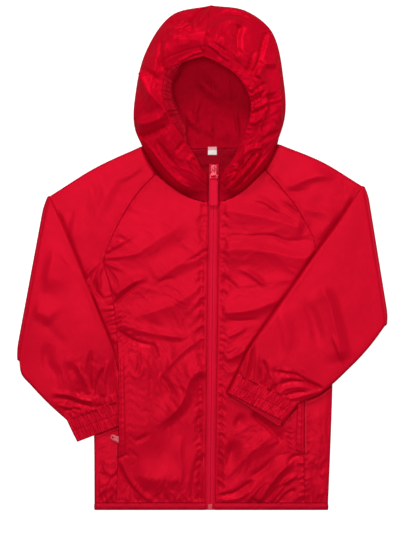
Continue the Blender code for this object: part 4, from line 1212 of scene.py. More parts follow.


# --- Creases of each piece --------------------------------------------------------------------

FRONT_CREASES: dict[Side, tuple[Relief, ...]] = {
    Side.RIGHT: (
        Billow((62, 40), 0.9, 11, -20),
        Fold(((9, 15), (-4, 5), (-18, -3), (-40, -14), (-66, -34)), 2.6, (15, 30), 3.7, (0.02, 0.35)),
        Fold(((8, 12), (-8.8, 0.6), (-31.9, -9.3)), -2.2, (3, 4), 2.8, (0.02, 0.6)),
        Fold(((-35, -26), (-50, -30), (-62, -35)), -1.2, (5, 5), 2.2),
        Fold(((-81.4, -31), (-98, -44.5), (-118, -62)), -3.2, (4, 7), 2.8, (0.35, 0.02)),
        Fold(((-70, -26), (-92, -33), (-118, -50)), 2.6, (8, 16), 3.4, (0.3, 0.05)),
        Fold(((-12, 60), (-50, 30), (-96, 2), (-122, -14)), 2.2, (40, 36), 3.2, (0.3, 0.3)),
        Fold(((2, -36), (-30, -58), (-66, -72), (-104, -84)), 2, (24, 18), 3.2, (0.2, 0.3)),
        Fold(((-111, -99), (-98, -108.3), (-81.4, -115.6), (-60, -119)), -3.6, (5, 6), 2.8, (0.05, 0.4)),
        Fold(((-104, -94), (-65, -102), (-25.3, -107), (-8, -100)), 2.2, (13, 9), 3.4, (0.2, 0.3)),
        Fold(((5, -150), (-10, -158), (-19, -172), (-24, -190), (-35, -206), (-50, -219), (-67, -231)),
             5.6, (12, 34), 3.6, (0.05, 0.35)),
        Fold(((-54, -158), (-41, -142), (-26, -127), (-6, -112)), 2.2, (18, 9), 3.2, (0.3, 0.1)),
        Fold(((-55, -157), (-47, -171), (-41, -187)), -2.8, (8, 5), 2.4),
        Fold(((-72, -112), (-63, -123.6), (-58.5, -139)), -2.8, (5, 4), 2.8),
        Fold(((-86, -118), (-84, -142), (-90, -160)), -2, (5, 6), 2.6),
        Fold(((-70, -236), (-84, -246), (-97, -244)), -1.8, (5, 7), 2.4),
        Fold(((-100, -294), (-77, -296), (-52, -300), (-22, -292)), 3.8, (44, 24), 2.2),
        Fold(((-110, -270), (-100, -294), (-84, -315), (-66, -330)), 2.8, (4, 6), 3.4, (0.1, 0.1)),
        Fold(((-114, -276), (-103, -299), (-90, -318)), -2.4, (4, 4), 2.8),
        Fold(((-114, -250), (-108, -262), (-96, -268)), -2.2, (4, 4), 2.8),
        Fold(((-22, -228), (-30, -258), (-27, -290), (-34, -326)), 1.2, (10, 22), 3.2),
        Fold(((2, -205), (-5, -222), (-4, -243)), -2.4, (5, 6), 2.4),
        Fold(((3, -262), (-1, -296), (-2, -329)), -4, (5, 12), 2.2, (0.2, 0.05)),
        Fold(((-3, -262), (-11, -292), (-14, -328)), -2.2, (5, 6), 2.5, (0.3, 0.1)),
        Fold(((-131, 8), (-104, 24), (-80, 37)), 2.2, (5, 6), 3.4, (0.02, 0.75)),
        Fold(((-132, 0), (-97, 4), (-70, 10)), 2.2, (5, 5), 3.4, (0.02, 0.75)),
        Fold(((-131, -6), (-112, -14), (-98, -20)), 2.2, (4, 4), 3.4, (0.02, 0.7)),
        Fold(((-118, 30), (-101, 23)), -1.8, (3, 3), 2.8),
        Fold(((-129, 16), (-116, 10)), -1.8, (3, 3), 2.8),
        Fold(((-132, -11), (-119, -26), (-112, -40)), -2, (3, 3.5), 2.8),
        Gathers(((-99, -118), (-97, -270)), 11.5, -2.6, 15, 21, -0.7, 2.8, (1, 0.3)),
        Gathers(((-99, -112), (-97, -270)), 6.5, -1.4, 9, 121, -0.9, 2.8, (1, 0.4)),
        Gathers(((-112, -66), (-104, -112)), 7, 2.6, 22, 123, -0.3, 3),
        Gathers(((3, 74), (-3, -329)), 9.5, -2.4, 12, 22, -1, 2.8, (0, 1)),
        Gathers(((3, 74), (-3, -329)), 5.5, -1.3, 8, 122, -0.6, 2.8, (0, 1)),
        Gathers(((3, -40), (1, -120)), 14, 2, 24, 124, -0.9, 2.8, (0, 1)),
        Gathers(((-117, -331), (4, -331)), 6.5, -2.8, 13, 23, 0.3, 2.8),
        Gathers(((-117, -331), (4, -331)), 13, 2, 20, 223, -0.3, 3),
        Gathers(SEAMS[Side.RIGHT]["raglan"], 8, 0.8, 9, 24, 0.2),
        Rumple((-62, -66), (66, 70), (50, 18), -36, 0.8, 25),
        Rumple((-60, 40), (80, 70), (60, 22), -36, 0.6, 27),
        Rumple((-52, -170), (62, 90), (44, 16), -58, 1, 26),
        Rumple((-104, -110), (24, 44), (22, 8), 30, 1.3, 28),
        Rumple((-60, -314), (80, 26), (24, 9), 70, 0.9, 29),
    ),
    Side.LEFT: (
        Billow((66, 38), 0.8, 31, 5),
        Fold(((24, 65), (67, 59.5), (100, 51), (140, 40)), 2.9, (18, 26), 3.8, (0.1, 0.1)),
        Fold(((24, 72), (36, 64), (50, 53)), -1.6, (4, 5), 2.8, (0.05, 0.5)),
        Fold(((80, 68), (105, 59.5), (130, 46)), -1.5, (4, 6), 2.8, (0.3, 0.1)),
        Fold(((62, 82), (87, 75), (108, 59)), 1.8, (8, 6), 3.4),
        Fold(((103, 79), (122, 66), (146, 48)), -1.3, (4, 4), 2.6, (0.3, 0.1)),
        Fold(((24, 12.5), (67, 11.8), (96.8, 8), (126.5, 0.6), (155, 2)), 3.4, (20, 34), 3.6, (0.1, 0.05)),
        Fold(((30, 30.5), (67, 29.8), (97, 29.6), (113, 23), (151, 26)), -1.3, (4, 4), 2.6, (0.1, 0.1)),
        Fold(((47, -12.6), (67, -22.5), (88, -40)), 2.4, (9, 6), 3.4),
        Fold(((26, -20), (36, -32), (52, -44)), -2, (6, 7), 2.4),
        Fold(((26, -75), (67, -70.5), (93.5, -61.4), (122, -48)), 2.8, (30, 13), 3.4, (0.05, 0.3)),
        Fold(((28, -83), (54, -84), (82, -82)), -1.2, (3.5, 9), 2.4),
        Fold(((28, -141), (50, -130), (73, -112)), 2, (18, 8), 3.4),
        Fold(((24, -108), (44, -103), (62, -92)), 1.8, (9, 7), 3.2),
        Fold(((22, -321), (43.6, -317), (58, -308), (72, -299)), -3.8, (5, 4), 2.8, (0.1, 0.2)),
        Fold(((24, -328), (50, -324), (74, -306)), 2.4, (5, 6), 3.4, (0.1, 0.3)),
        Fold(((49, -242), (39, -261), (32.6, -286)), -3.6, (20, 9), 2.2, (0.5, 0.5)),
        Fold(((64, -211), (88, -229), (108, -248)), -3.8, (20, 4), 3.2, (0.2, 0.1)),
        Fold(((56, -208), (49, -221), (43, -232)), -2.2, (14, 7), 2.2, (0.5, 0.5)),
        Fold(((40, -292), (66, -262), (104, -232)), 2.4, (22, 24), 3),
        Fold(((126, -272), (106, -289), (88, -312), (76, -331)), 5, (9, 22), 3.4, (0.2, 0.05)),
        Fold(((132, -292), (114, -303), (100, -320), (92, -331)), 3, (4, 8), 3.4, (0.2, 0.05)),
        Fold(((116, -303), (98, -316), (90, -331)), -2.8, (4, 4), 2.8, (0.2, 0.05)),
        Fold(((94, -296), (78, -308), (60, -330)), 2.8, (5, 5), 3.4, (0.3, 0.05)),
        Fold(((128, -312), (112, -320), (104, -331)), -2.6, (4, 4), 2.8, (0.2, 0.05)),
        Fold(((139, -266.9), (122.6, -268.7), (113.4, -284)), -2.6, (4, 5), 2.8),
        Fold(((100, -268), (84, -284), (60, -300)), -2, (7, 8), 2.6),
        Fold(((25, -250), (25.5, -282), (24, -318)), -2.8, (5, 5), 2.3, (0.2, 0.1)),
        Gathers(((28, 74), (22, -329)), 6.3, -2.6, 11, 32, -0.9, 2.8, (1, 0)),
        Gathers(((28, 74), (22, -329)), 13, 2.2, 18, 132, -0.8, 3, (1, 0)),
        Gathers(((20, -331), (139, -331)), 6.5, -2.8, 13, 33, -0.6, 2.8),
        Gathers(((20, -331), (139, -331)), 15, 2.6, 26, 233, -0.8, 3),
        Gathers(SEAMS[Side.LEFT]["raglan"], 7, 1.5, 10, 34, -0.3, 2.8),
        Gathers(((121, -200), (121, -268)), 7, -2, 11, 35, 0.5, 2.8, (0.2, 1)),
        Gathers(((138, -266), (138, -330)), 8, 2.2, 14, 135, -0.5, 2.8),
        Rumple((75, -10), (80, 74), (60, 20), -8, 0.6, 36),
        Rumple((80, -270), (70, 70), (46, 17), 46, 0.8, 37),
        Rumple((60, -130), (50, 44), (34, 13), 24, 0.8, 38),
    ),
}

UPPER_ARM_CREASES: dict[Side, tuple[Relief, ...]] = {
    Side.RIGHT: (
        Billow((60, 44), 0.6, 41, 60),
        Fold(((-163, 72), (-172, 50), (-176, 16)), 1.2, (26, 9), 2.2),
        Fold(((-93, 136), (-118, 104), (-140, 60), (-152, 10)), 1.4, (16, 24), 2.2),
        Fold(((-78, 128), (-98, 112), (-118, 104)), 1.2, (6, 7), 2.4),
        Fold(((-136, -6), (-152, -18), (-170, -48)), 1.8, (7, 8), 2.8),
        Gathers(SEAMS[Side.RIGHT]["raglan"], 8, 0.7, 8, 42, -0.2),
        Rumple((-145, 50), (68, 90), (50, 20), -65, 0.35, 43),
    ),
    Side.LEFT: (
        Billow((60, 44), 0.6, 44, -50),
        Fold(((104, 101), (120, 97), (143, 106), (167, 111), (186, 109)), 2.4, (30, 11), 3),
        Fold(((109, 91), (130, 89), (152, 95)), -1, (5, 6), 2.4),
        Fold(((128, 72), (158, 62), (186, 62)), 1.2, (14, 14), 2.4),
        Fold(((150, 20), (164, 36), (188, 66)), 1.6, (26, 8), 2.6),
        Gathers(SEAMS[Side.LEFT]["raglan"], 7, 1.3, 9, 45, 0.3, 2.8),
        Rumple((158, 60), (71, 82), (50, 20), 40, 0.35, 46),
    ),
}

FOREARM_CREASES: dict[Side, tuple[Relief, ...]] = {
    Side.RIGHT: (
        Billow((80, 46), 0.8, 51, -70),
        Fold(((-186, 14), (-199, 4), (-206, -18), (-208, -50)), 2.2, (46, 17), 2.2),
        Fold(((-234, -70), (-214, -75), (-198, -88)), 1.9, (30, 15), 2.2),
        Fold(((-229, -92), (-209, -94), (-196, -107), (-179, -122)), -0.6, (12, 14), 2.2),
        Fold(((-199, -109), (-209, -125), (-209, -142), (-198, -159), (-202, -182)), -1.6, (15, 12), 2.2),
        Fold(((-182, -138), (-172, -162), (-166, -186)), -2.4, (10, 12), 2.2, (0.3, 0.1)),
        Fold(((-170, -140), (-158, -164), (-150, -184)), 2.4, (6, 8), 3.3, (0.3, 0.1)),
        Fold(((-149, -122), (-152, -152), (-149, -184)), -2.4, (5, 7), 2.6, (0.3, 0.1)),
        Fold(((-131, -146), (-140, -168), (-142, -188)), -3.4, (4, 6), 2.8, (0.25, 0.1)),
        Fold(((-126, -136), (-132, -162), (-134, -188)), 2.8, (5, 5), 3.4, (0.25, 0.1)),
        Fold(((-117, -126), (-121, -156), (-122, -188)), -3, (4, 4), 2.8, (0.25, 0.1)),
        Fold(((-112, -150), (-114, -170), (-112, -190)), 2.4, (4, 4), 3.4, (0.3, 0.1)),
        Fold(((-206, -188), (-182, -190.6), (-159, -199), (-139, -201), (-122, -195)),
             -2.2, (6, 5), 2.4, (0.2, 0.2)),
        Fold(((-202, -183), (-180, -185), (-160, -192), (-141, -194)), 2.6, (7, 4), 3.4, (0.2, 0.2)),
        Fold(((-196, -197), (-180, -202), (-164, -210)), 2.4, (4, 4), 3.2),
        Fold(((-188, -206), (-172, -204), (-158, -206)), -2.6, (4, 4), 2.8),
        Gathers(((-98, -189), (-182, -219)), 7, 2.8, 16, 52, 0.1, 3),
        Gathers(((-98, -189), (-182, -219)), 14, 2, 34, 152, 0.15, 2.8),
        Rumple((-160, -170), (50, 50), (34, 12), -72, 0.8, 53),
    ),
    Side.LEFT: (
        Billow((80, 46), 0.7, 54, 45),
        Fold(((158, -36), (171, -58), (180, -92), (192, -140)), 3.4, (15, 34), 3.4, (0.15, 0.15)),
        Fold(((174, -100), (186, -130), (190, -146)), 1.4, (5, 5), 3.2),
        Fold(((132, -52), (150, -82), (160, -128)), -1, (12, 12)),
        Fold(((98, -60), (112, -96), (116, -136)), 1.2, (18, 12), 2.2),
        Fold(((91, -152), (110, -155), (128, -158.5), (161, -177)), -2.8, (4, 5), 2.8, (0.2, 0.1)),
        Fold(((102, -171), (125, -166), (150, -171), (168, -179)), -2.9, (5, 6), 2.8, (0.1, 0.2)),
        Fold(((98, -163), (122, -161), (150, -166)), 0.9, (6, 5), 2.8),
        Fold(((69.5, -114), (66, -140), (60, -166)), -4.2, (4, 4), 2.8, (0.2, 0.05)),
        Fold(((58, -170), (60, -152), (62, -134), (66, -116)), 2.6, (4.5, 5), 3.4, (0.05, 0.4)),
        Fold(((53, -165), (50, -151), (51, -138)), -3.4, (3.5, 4), 2.8, (0.05, 0.3)),
        Fold(((72, -174), (73.5, -148), (76, -124)), 2.8, (4, 4), 3.4, (0.05, 0.4)),
        Fold(((82, -136), (88, -158), (84, -182)), -4.2, (4, 4), 2.8, (0.2, 0.05)),
        Fold(((78, -176), (78, -160), (80, -146)), -3, (3, 3), 2.8, (0.05, 0.3)),
        Fold(((90, -178), (95, -164), (92, -154)), 3.6, (3.5, 4), 3.4, (0.05, 0.3)),
        Fold(((96, -180), (101, -168)), -3.4, (3.5, 3.5), 2.8, (0.05, 0.4)),
        Fold(((103, -183), (114, -176), (130, -174), (150, -176)), 1.3, (5, 5), 2.8, (0.05, 0.4)),
        Fold(((108, -188), (122, -182), (144, -180)), -3.2, (3.5, 4), 2.8, (0.05, 0.4)),
        Fold(((114, -192), (132, -187), (158, -180)), 1.3, (4, 4), 2.8, (0.05, 0.3)),
        Fold(((120, -198), (137, -192), (156, -184)), -3.4, (4, 4), 2.8, (0.05, 0.3)),
        Fold(((126, -200), (142, -196), (158, -188)), 1.8, (3.5, 3.5), 3.4, (0.05, 0.3)),
        Gathers(((47, -158), (130, -196)), 7, 2.4, 12, 57, 0, 3),
        Rumple((100, -165), (50, 34), (30, 10), -75, 0.8, 56),
    ),
}

HOOD_CREASES: dict[Side, tuple[Relief, ...]] = {
    Side.RIGHT: (
        Billow((46, 30), 2, 61, 30),
        Fold(((-86, 252), (-81, 249), (-72, 230), (-63.5, 214), (-54, 203), (-47, 195)),
             7.5, (9, 20), 3.3, (0.1, 0.05)),
        Fold(((-86, 256), (-70, 247), (-56, 236)), -6, (7, 5), 2.8, (0.1, 0.2)),
        Fold(((-46, 194), (-57, 188), (-70, 183), (-90, 180)), 6.5, (17, 14), 3.3, (0.05, 0.15)),
        Fold(((-86, 162), (-67, 168), (-48, 178)), -5, (6, 10), 2.6, (0.1, 0.2)),
        Fold(((-47, 192), (-36, 183), (-28, 173), (-24, 163), (-26, 152)), -3, (3, 4), 2.9, (0.05, 0.3)),
        Fold(((-22, 158), (-30, 149), (-37, 140)), -4.6, (4, 5), 2.8),
        Fold(((-84, 160), (-63.5, 136), (-41.5, 112), (-16, 90)), 4, (9, 9), 3.4, (0.1, 0.1)),
        Fold(((-62, 160), (-48, 138), (-34, 122)), -3.4, (7, 6), 2.6),
        Fold(((-21, 158), (-9.5, 136), (-3, 115), (2, 98)), 3, (5, 6), 3.4),
        Fold(((-3, 131), (-13, 137), (-18, 130), (-9.5, 114)), 2.8, (5, 5), 3.3),
        Fold(((6, 338), (-2.7, 329.7), (-9.5, 322), (-18, 313)), -6.5, (4, 9), 2.8, (0.05, 0.25)),
        Fold(((10, 332), (1, 322), (-6, 312), (-14, 304)), 4.4, (7, 6), 3.4, (0.1, 0.25)),
        Fold(((-18, 328), (-25, 315), (-36, 308), (-52, 306)), 4.6, (6, 7), 3.3),
        Fold(((-28, 322), (-38, 316), (-50, 314)), -4, (5, 5), 2.8),
        Fold(((-3, 315), (-18, 308), (-33, 300), (-48, 294)), 4.2, (7, 9), 3.4, (0.2, 0.2)),
        Fold(((-60, 304), (-68, 288), (-70, 268)), -3, (9, 14), 2.2),
        Fold(((-54, 296), (-58, 280), (-56, 262), (-52, 252)), -4.6, (8, 8), 2.5, (0.2, 0.1)),
        Fold(((-48, 288), (-49, 270), (-48, 253)), 3.6, (4, 5), 3.4, (0.3, 0.05)),
        Fold(((1, 276), (-9.5, 274), (-21, 268), (-34, 262)), 2.2, (3, 3.5), 3.4, (0.1, 0.2)),
        Fold(((-1, 293), (0, 284), (4, 275)), 3.4, (4, 4), 3.4),
        Gathers(((-84, 248), (-52, 206)), 6, 1.8, 14, 62, 0.2, 3, (1, 0)),
        Gathers(((-22, 263), (-46, 251), (-53, 221), (-42, 188)), 6, 1.6, 9, 162, 0.2, 3),
        Gathers(((-63, 113), (-39, 94), (-16, 81)), 8, 1.6, 12, 63, 0.3, 2.8),
        Rumple((-46, 312), (56, 34), (26, 11), 30, 1.7, 64),
        Rumple((-66, 180), (40, 70), (26, 11), 60, 0.8, 65),
        Rumple((-40, 120), (46, 40), (30, 12), -50, 1, 165),
    ),
    Side.LEFT: (
        Billow((46, 30), 2, 66, -30),
        Fold(((4, 299), (7.4, 302), (14, 308.6), (24, 313), (38, 316), (54, 315)),
             4.6, (10, 16), 3.5, (0.1, 0.15)),
        Fold(((27, 302.5), (35.3, 298.5), (44, 293)), -3.8, (3.5, 4.5), 2.9),
        Fold(((8, 287), (21, 277.4), (28, 270.7), (38, 264)), 2.8, (3, 3), 3.4, (0.1, 0.1)),
        Fold(((14, 290), (26, 281), (34, 274)), -2.6, (3, 3), 2.9),
        Fold(((22, 334), (44, 336), (66, 330)), 3.4, (5, 6), 3.4),
        Fold(((20, 326), (42, 328), (70, 320)), -3.4, (5, 5), 2.8),
        Fold(((50.5, 312), (49, 298), (48.6, 284), (49.5, 270)), -5, (8, 11), 2.4, (0.05, 0.2)),
        Fold(((58, 309), (64, 306), (67, 296), (62, 276)), 1.2, (12, 10), 2.2, (0.1, 0.2)),
        Fold(((87, 306), (83.4, 288), (78, 269), (68, 245)), -5.6, (7, 10), 2.6, (0.1, 0.1)),
        Fold(((92, 304), (89, 288), (84, 270), (76, 252)), 1, (16, 8), 2.2, (0.1, 0.2)),
        Fold(((71, 281), (66.5, 264), (60, 248)), -4.6, (5, 6), 2.8, (0.2, 0.05)),
        Fold(((77, 280), (73, 264), (67, 250)), 3, (5, 5), 3.2, (0.2, 0.1)),
        Fold(((98, 292), (100, 276), (94, 262)), 3, (6, 9), 3),
        Fold(((76, 266), (84, 257), (92, 256), (106, 262)), -4.5, (4, 14), 2.6, (0.2, 0.2)),
        Fold(((72, 242), (77.5, 250), (84, 258), (92, 260), (108, 256)), 5.6, (9, 12), 3.5, (0.1, 0.1)),
        Fold(((106, 250), (103, 230), (104, 204), (108, 182)), 5, (6, 12), 3.4, (0.1, 0.1)),
        Fold(((88, 222), (93, 204), (88, 186), (80, 166)), -6.5, (13, 6), 2.6, (0.1, 0.1)),
        Fold(((86, 235), (76.6, 228.5), (65, 221)), -3.8, (4, 4), 2.9, (0.2, 0.02)),
        Fold(((84, 230), (76, 223.5), (64, 217)), 3.4, (4, 4), 3.4, (0.2, 0.02)),
        Fold(((82, 218), (73.2, 213.3), (62, 208)), -3.8, (4, 4), 2.9, (0.2, 0.02)),
        Fold(((92, 214), (81, 205), (70, 201)), 3.6, (4, 5), 3.4, (0.2, 0.02)),
        Fold(((92, 207), (80, 199), (66, 193)), -3.4, (4, 4), 2.9, (0.2, 0.05)),
        Fold(((84, 194), (74, 184), (64, 178)), 4, (5, 5), 3.4),
        Fold(((82, 150), (65, 146), (54, 136), (48, 126)), 4.8, (6, 7), 3.4, (0.1, 0.2)),
        Fold(((58, 134), (51.3, 122), (44, 108)), -5.6, (5, 6), 2.8),
        Fold(((82, 140), (65, 119), (48, 98.5), (34, 83)), -4.2, (4, 4), 2.9, (0.1, 0.05)),
        Fold(((78, 143), (60, 121), (43, 102), (30, 86)), 4.6, (4, 4), 3.4, (0.1, 0.05)),
        Fold(((72, 142), (56, 122), (40, 102)), -4.2, (3.5, 3.5), 2.9, (0.1, 0.1)),
        Fold(((88, 136), (70, 116), (52, 98)), 4, (4, 4.5), 3.4, (0.1, 0.1)),
        Fold(((44, 128), (36, 112), (30, 98)), 4, (4, 4), 3.4, (0.1, 0.1)),
        Fold(((104, 171), (90, 163), (80, 155)), -4, (6, 7), 2.6),
        Gathers(((44, 252), (54, 238), (62, 224), (66, 208)), 3.6, 3.2, 15, 67, -0.9, 3),
        Gathers(((24, 260), (49, 242), (65, 211), (63, 184), (53, 156)), 9, 2.2, 16, 167, 0.3, 3),
        Gathers(((86, 119), (59, 93), (40, 81)), 8, 1.8, 12, 68, 0, 3),
        Rumple((60, 300), (66, 50), (28, 12), 75, 1.4, 69),
        Rumple((84, 200), (36, 60), (24, 10), 40, 2, 70),
        Rumple((60, 130), (46, 46), (26, 8), 50, 2.2, 170),
    ),
}

LINING_CREASES: tuple[Relief, ...] = (
    Fold(((-12, 252), (0.7, 235), (11, 225), (21, 217), (32, 204)), 2, (14, 8)),
    Fold(((-24, 200), (-16, 184.6), (-3, 175), (12.5, 171), (20, 160)), 4.2, (9, 5), 3),
    Fold(((45, 200), (47, 183), (51, 164)), 2.4, (5, 4), 3),
    Fold(((2, 218), (-6, 206), (-10, 190), (-4, 178)), 1.8, (6, 5), 2.6),
    Fold(((34, 254), (36, 230), (37, 203)), 0.6, (8, 4), 3),
    Fold(((24, 166), (41, 163), (53, 161)), 2.2, (4, 3), 3.3),
    Fold(((-30, 155), (-8, 157), (18, 154.5), (48, 156)), 2.4, (4, 2.5), 3, (0.1, 0.1)),
    Fold(((-26, 163), (-4, 161), (14, 165)), 2.2, (5, 3), 3),
    Fold(((6, 171), (26, 166), (48, 168)), 2, (5, 3), 3),
    Gathers(((-40, 153), (52, 153)), 5.5, 2.2, 14, 73, 0.9, 3),
    Gathers(((-40, 160), (52, 160)), 12, 1.6, 22, 173, -1.2, 3),
    Rumple((8, 205), (60, 66), (34, 14), 40, 0.35, 72),
)

SIDE_CREASES: dict[Side, tuple[Relief, ...]] = {
    Side.RIGHT: (
        Billow((30, 26), 0.6, 81, 80),
        Fold(((-134, -8), (-140, -24), (-136, -44)), 2.6, (5, 6), 3.3),
        Fold(((-144, -24), (-143, -44), (-130, -58)), -3, (5, 6), 2.8),
        Gathers(((-122, -45), (-116, -110)), 6.5, 2.8, 22, 86, -0.3, 3),
        Gathers(((-150, -331), (-117, -331)), 6.5, -2.6, 26, 88, 0.2, 3),
        Rumple((-130, -300), (26, 60), (30, 12), 60, 1.4, 82),
    ),
    Side.LEFT: (
        Billow((30, 26), 0.8, 83, 80),
        Gathers(((139, -210), (139, -330)), 9, 1.4, 14, 87, 0.3, 2.8),
        Gathers(((139, -331), (170, -331)), 6.5, -2.6, 22, 89, -0.2, 3),
        Rumple((158, -280), (26, 90), (36, 14), 80, 0.8, 84),
    ),
}

BACK_CREASES: tuple[Relief, ...] = (
    Billow((50, 40), 0.5, 91),
    Rumple((10, -100), (187, 300), (34, 13), 20, 0.8, 92),
)
BACK_NECK_CREASES: tuple[Relief, ...] = (
    Gathers(BACK_NECK, 7, 1.4, 22, 95, 0.9, 3),
    Fold(((-24, 144), (-12, 141), (0, 143)), 1.8, (5, 4), 2.6),
    Fold(((28, 143), (38, 141), (48, 143)), 1.8, (5, 4), 2.6),
    Fold(((-14, 131), (12, 128), (38, 132)), 1.6, (4, 4), 2.6, (0.1, 0.1)),
)
HEM_CREASES: tuple[Relief, ...] = (
    Gathers(((-150, -335.5), (180, -335.5)), 9.5, 0.5, 14, 93),
    Gathers(((-150, -335.5), (180, -335.5)), 23, 0.8, 14, 94, 0.6),
)


# --- The body ---------------------------------------------------------------------------------

SEAM_DIP = 0.15
SEAM_HALF_WIDTH = 1.6
TUCK = 1.2


def sleeve_ceiling(side: Side, x: np.ndarray, y: np.ndarray) -> np.ndarray:
    """How high the cloth under a folded-over sleeve may rise."""
    depth = inside_depth(sleeve_outline(side), x, y)
    from_fold = off_line(np.array(CREASES[side][:4]).reshape(2, 2), x, y)
    pressed = 4.6 * swell(np.abs(depth) / 7.0) * ease((from_fold - 6.0) / 14.0)
    return 6.8 + 0.8 * np.maximum(-depth, 0.0) - pressed


def tucked(grid: np.ndarray) -> np.ndarray:
    """A grid whose first row reaches out under the next piece."""
    result = grid.copy()
    result[0, :, :2] += unit(grid[0, :, :2] - grid[1, :, :2]) * TUCK
    result[0, :, 2] -= 0.15
    return result


@dataclass
class Body:
    """The two fronts, the side panels, the back and the hem binding."""

    shop: Workshop
    front_parts: tuple[int, int, int] = (24, 54, 236)
    side_parts: tuple[int, int] = (20, 200)
    back_parts: tuple[int, int] = (26, 120)
    hem_parts: int = 150
    fold_parts: int = 6
    edge_roll: float = 0.3
    underarm_tuck: float = 6.0
    floor: float = 1.4
    over_cuff_y: tuple[float, float] = (-270.0, -136.0)
    under_sleeve_y: tuple[float, float] = (-285.0, -120.0)
    hem_wall: float = 0.4
    hem_stitch_y: float = -333.0
    hem_stitch_spans: tuple[tuple[float, float], ...] = ((-148, 3), (19, 168))
    stitch_from_zip: dict[Side, float] = field(default_factory=lambda: {Side.RIGHT: 13.5, Side.LEFT: 16.5})

    def front(self, side: Side) -> np.ndarray:
        """One front's smooth form, rows from the neck down and columns from the zip out."""
        neck, raglan, rows = self.front_parts
        offset = side.out * ZIP_HALF_WIDTH
        edge = curve_through(((ZIP_NECK_X + offset, ZIP_NECK_Y), (ZIP_HEM_X + offset, HEM_TOP_Y)), rows)
        top = joined(seam(side, "neckline", neck), seam(side, "raglan", raglan))
        out = seam(side, "side_seam", rows)
        bottom = blend(edge[-1], out[-1], shares(neck + raglan)[:, None])
        plan = fill_between(top, bottom, edge, out)
        lift = 0.0
        if side is Side.RIGHT:
            flat = 1 - ease((plan[..., 0] - LIFT_FLAT_TO_X) / (LIFT_ENDS_AT_X - LIFT_FLAT_TO_X))
            lift = pocket_heights(plan[..., 1])[0] * flat
        return with_height(plan, FRONT_Z + lift)

    def creased_front(self, side: Side, smooth: np.ndarray) -> np.ndarray:
        """The same front with its creases and the roll of its edge beside the zip."""
        x, y = smooth[..., 0], smooth[..., 1]
        from_zip = (x - zip_x(y)) * side.out - ZIP_HALF_WIDTH
        rise = raised(FRONT_CREASES[side], x, y)
        rise *= ease(from_zip / 2.5) * 0.85 + 0.15
        rise *= 0.25 + 0.75 * ease((y - HEM_TOP_Y) / 6.0)
        if side is Side.RIGHT:
            low, high = self.over_cuff_y
            over_cuff = ease((LIFT_FLAT_TO_X - x) / 8.0) * ease((high - y) / 8.0) * ease((y - low) / 8.0)
            rise = np.where(rise < 0.0, rise * (1 - 0.8 * over_cuff), rise)
        rise += self.edge_roll * swell(np.abs(from_zip - 2.0) / 4.0)
        rise -= 0.35 * swell(from_zip / 1.2, 1.0)
        rise -= 0.5 * swell(np.abs(from_zip - self.stitch_from_zip[side] + ZIP_HALF_WIDTH) / 2.2)
        for name in ("neckline", "raglan", "side_seam"):
            rise -= SEAM_DIP * swell(off_line(seam(side, name, 40), x, y) / SEAM_HALF_WIDTH)
        height = smooth[..., 2] + rise
        if side is Side.LEFT:
            height = held_below(height, sleeve_ceiling(side, x, y))
        return with_height(smooth, np.maximum(height, self.floor))

    def side_panel(self, side: Side) -> np.ndarray:
        """One side panel's smooth form, from its front seam round the fold to its back seam."""
        across, rows = self.side_parts
        front_seam = seam(side, "side_seam", rows)
        fold = seam(side, "side_fold", rows)
        upper_z = np.full(rows + 1, FRONT_Z)
        if side is Side.RIGHT:
            upper_z = pocket_heights(front_seam[:, 1])[1]
        radius = (upper_z - BACK_Z) / 2
        fold[:, 0] -= side.out * (radius + 0.5)
        top = seam(side, "underarm", across)
        top[-1] = fold[0]
        share = shares(across)[:, None]
        plan = fill_between(top, blend(front_seam[-1], fold[-1], share), front_seam, fold)
        plan[0, 1:, 1] += self.underarm_tuck * share[1:, 0]
        upper = with_height(plan, upper_z[:, None])
        lower = with_height(plan[:, ::-1], BACK_Z)
        angle = (math.pi * np.arange(1, self.fold_parts) / self.fold_parts)[None, :]
        radius = radius[:, None]
        turn_x = upper[:, -1:, 0] + side.out * radius * np.sin(angle)
        turn = places(turn_x, upper[:, -1:, 1], BACK_Z + radius + radius * np.cos(angle))
        return np.concatenate([upper, turn, lower], axis=1)

    def creased_side_panel(self, side: Side, smooth: np.ndarray) -> np.ndarray:
        """The same side panel with its creases, low where the sleeve presses on it."""
        across = self.side_parts[0]
        upper = smooth[:, : across + 1]
        x, y, z = np.moveaxis(upper, -1, 0)
        rise = raised(SIDE_CREASES[side], x, y)
        rise *= 1 - ease((shares(across) - 0.8) / 0.2)
        rise -= 0.2 * swell(off_line(seam(side, "side_seam", 60), x, y) / 2.2)
        height = held_below(z + rise, sleeve_ceiling(side, x, y))
        if side is Side.RIGHT:
            low, high = self.under_sleeve_y
            pressed = ease((high - y) / 20.0) * ease((y - low) / 12.0)
            height = np.minimum(height, z + 0.3 + 6.0 * (1 - pressed))
        result = smooth.copy()
        result[:, : across + 1, 2] = np.maximum(height, self.floor)
        return tucked(result.transpose(1, 0, 2)).transpose(1, 0, 2)

    def back(self) -> tuple[np.ndarray, np.ndarray]:
        """The back's smooth form on the surface, and the same with slight rises."""
        parts, rows = self.back_parts
        right, left = (seam(side, "side_seam", rows) for side in Side)
        raglans = [seam(side, "raglan_back", parts) for side in Side]
        top = joined(raglans[0][::-1], curve_through(BACK_NECK, parts), raglans[1])
        share = shares(len(top) - 1)
        plan = fill_between(top, blend(right[-1], left[-1], share[:, None]), right, left)
        x, y = plan[..., 0], plan[..., 1]
        rise = np.clip(raised(BACK_CREASES, x, y), -0.1, 0.8)
        rise += raised(BACK_NECK_CREASES, x, y) * ease((45.0 - np.abs(x - 12.0)) / 12.0)
        rise *= ease(np.minimum(share, 1 - share) / 0.1)
        return with_height(plan, BACK_Z), with_height(plan, BACK_Z + rise)

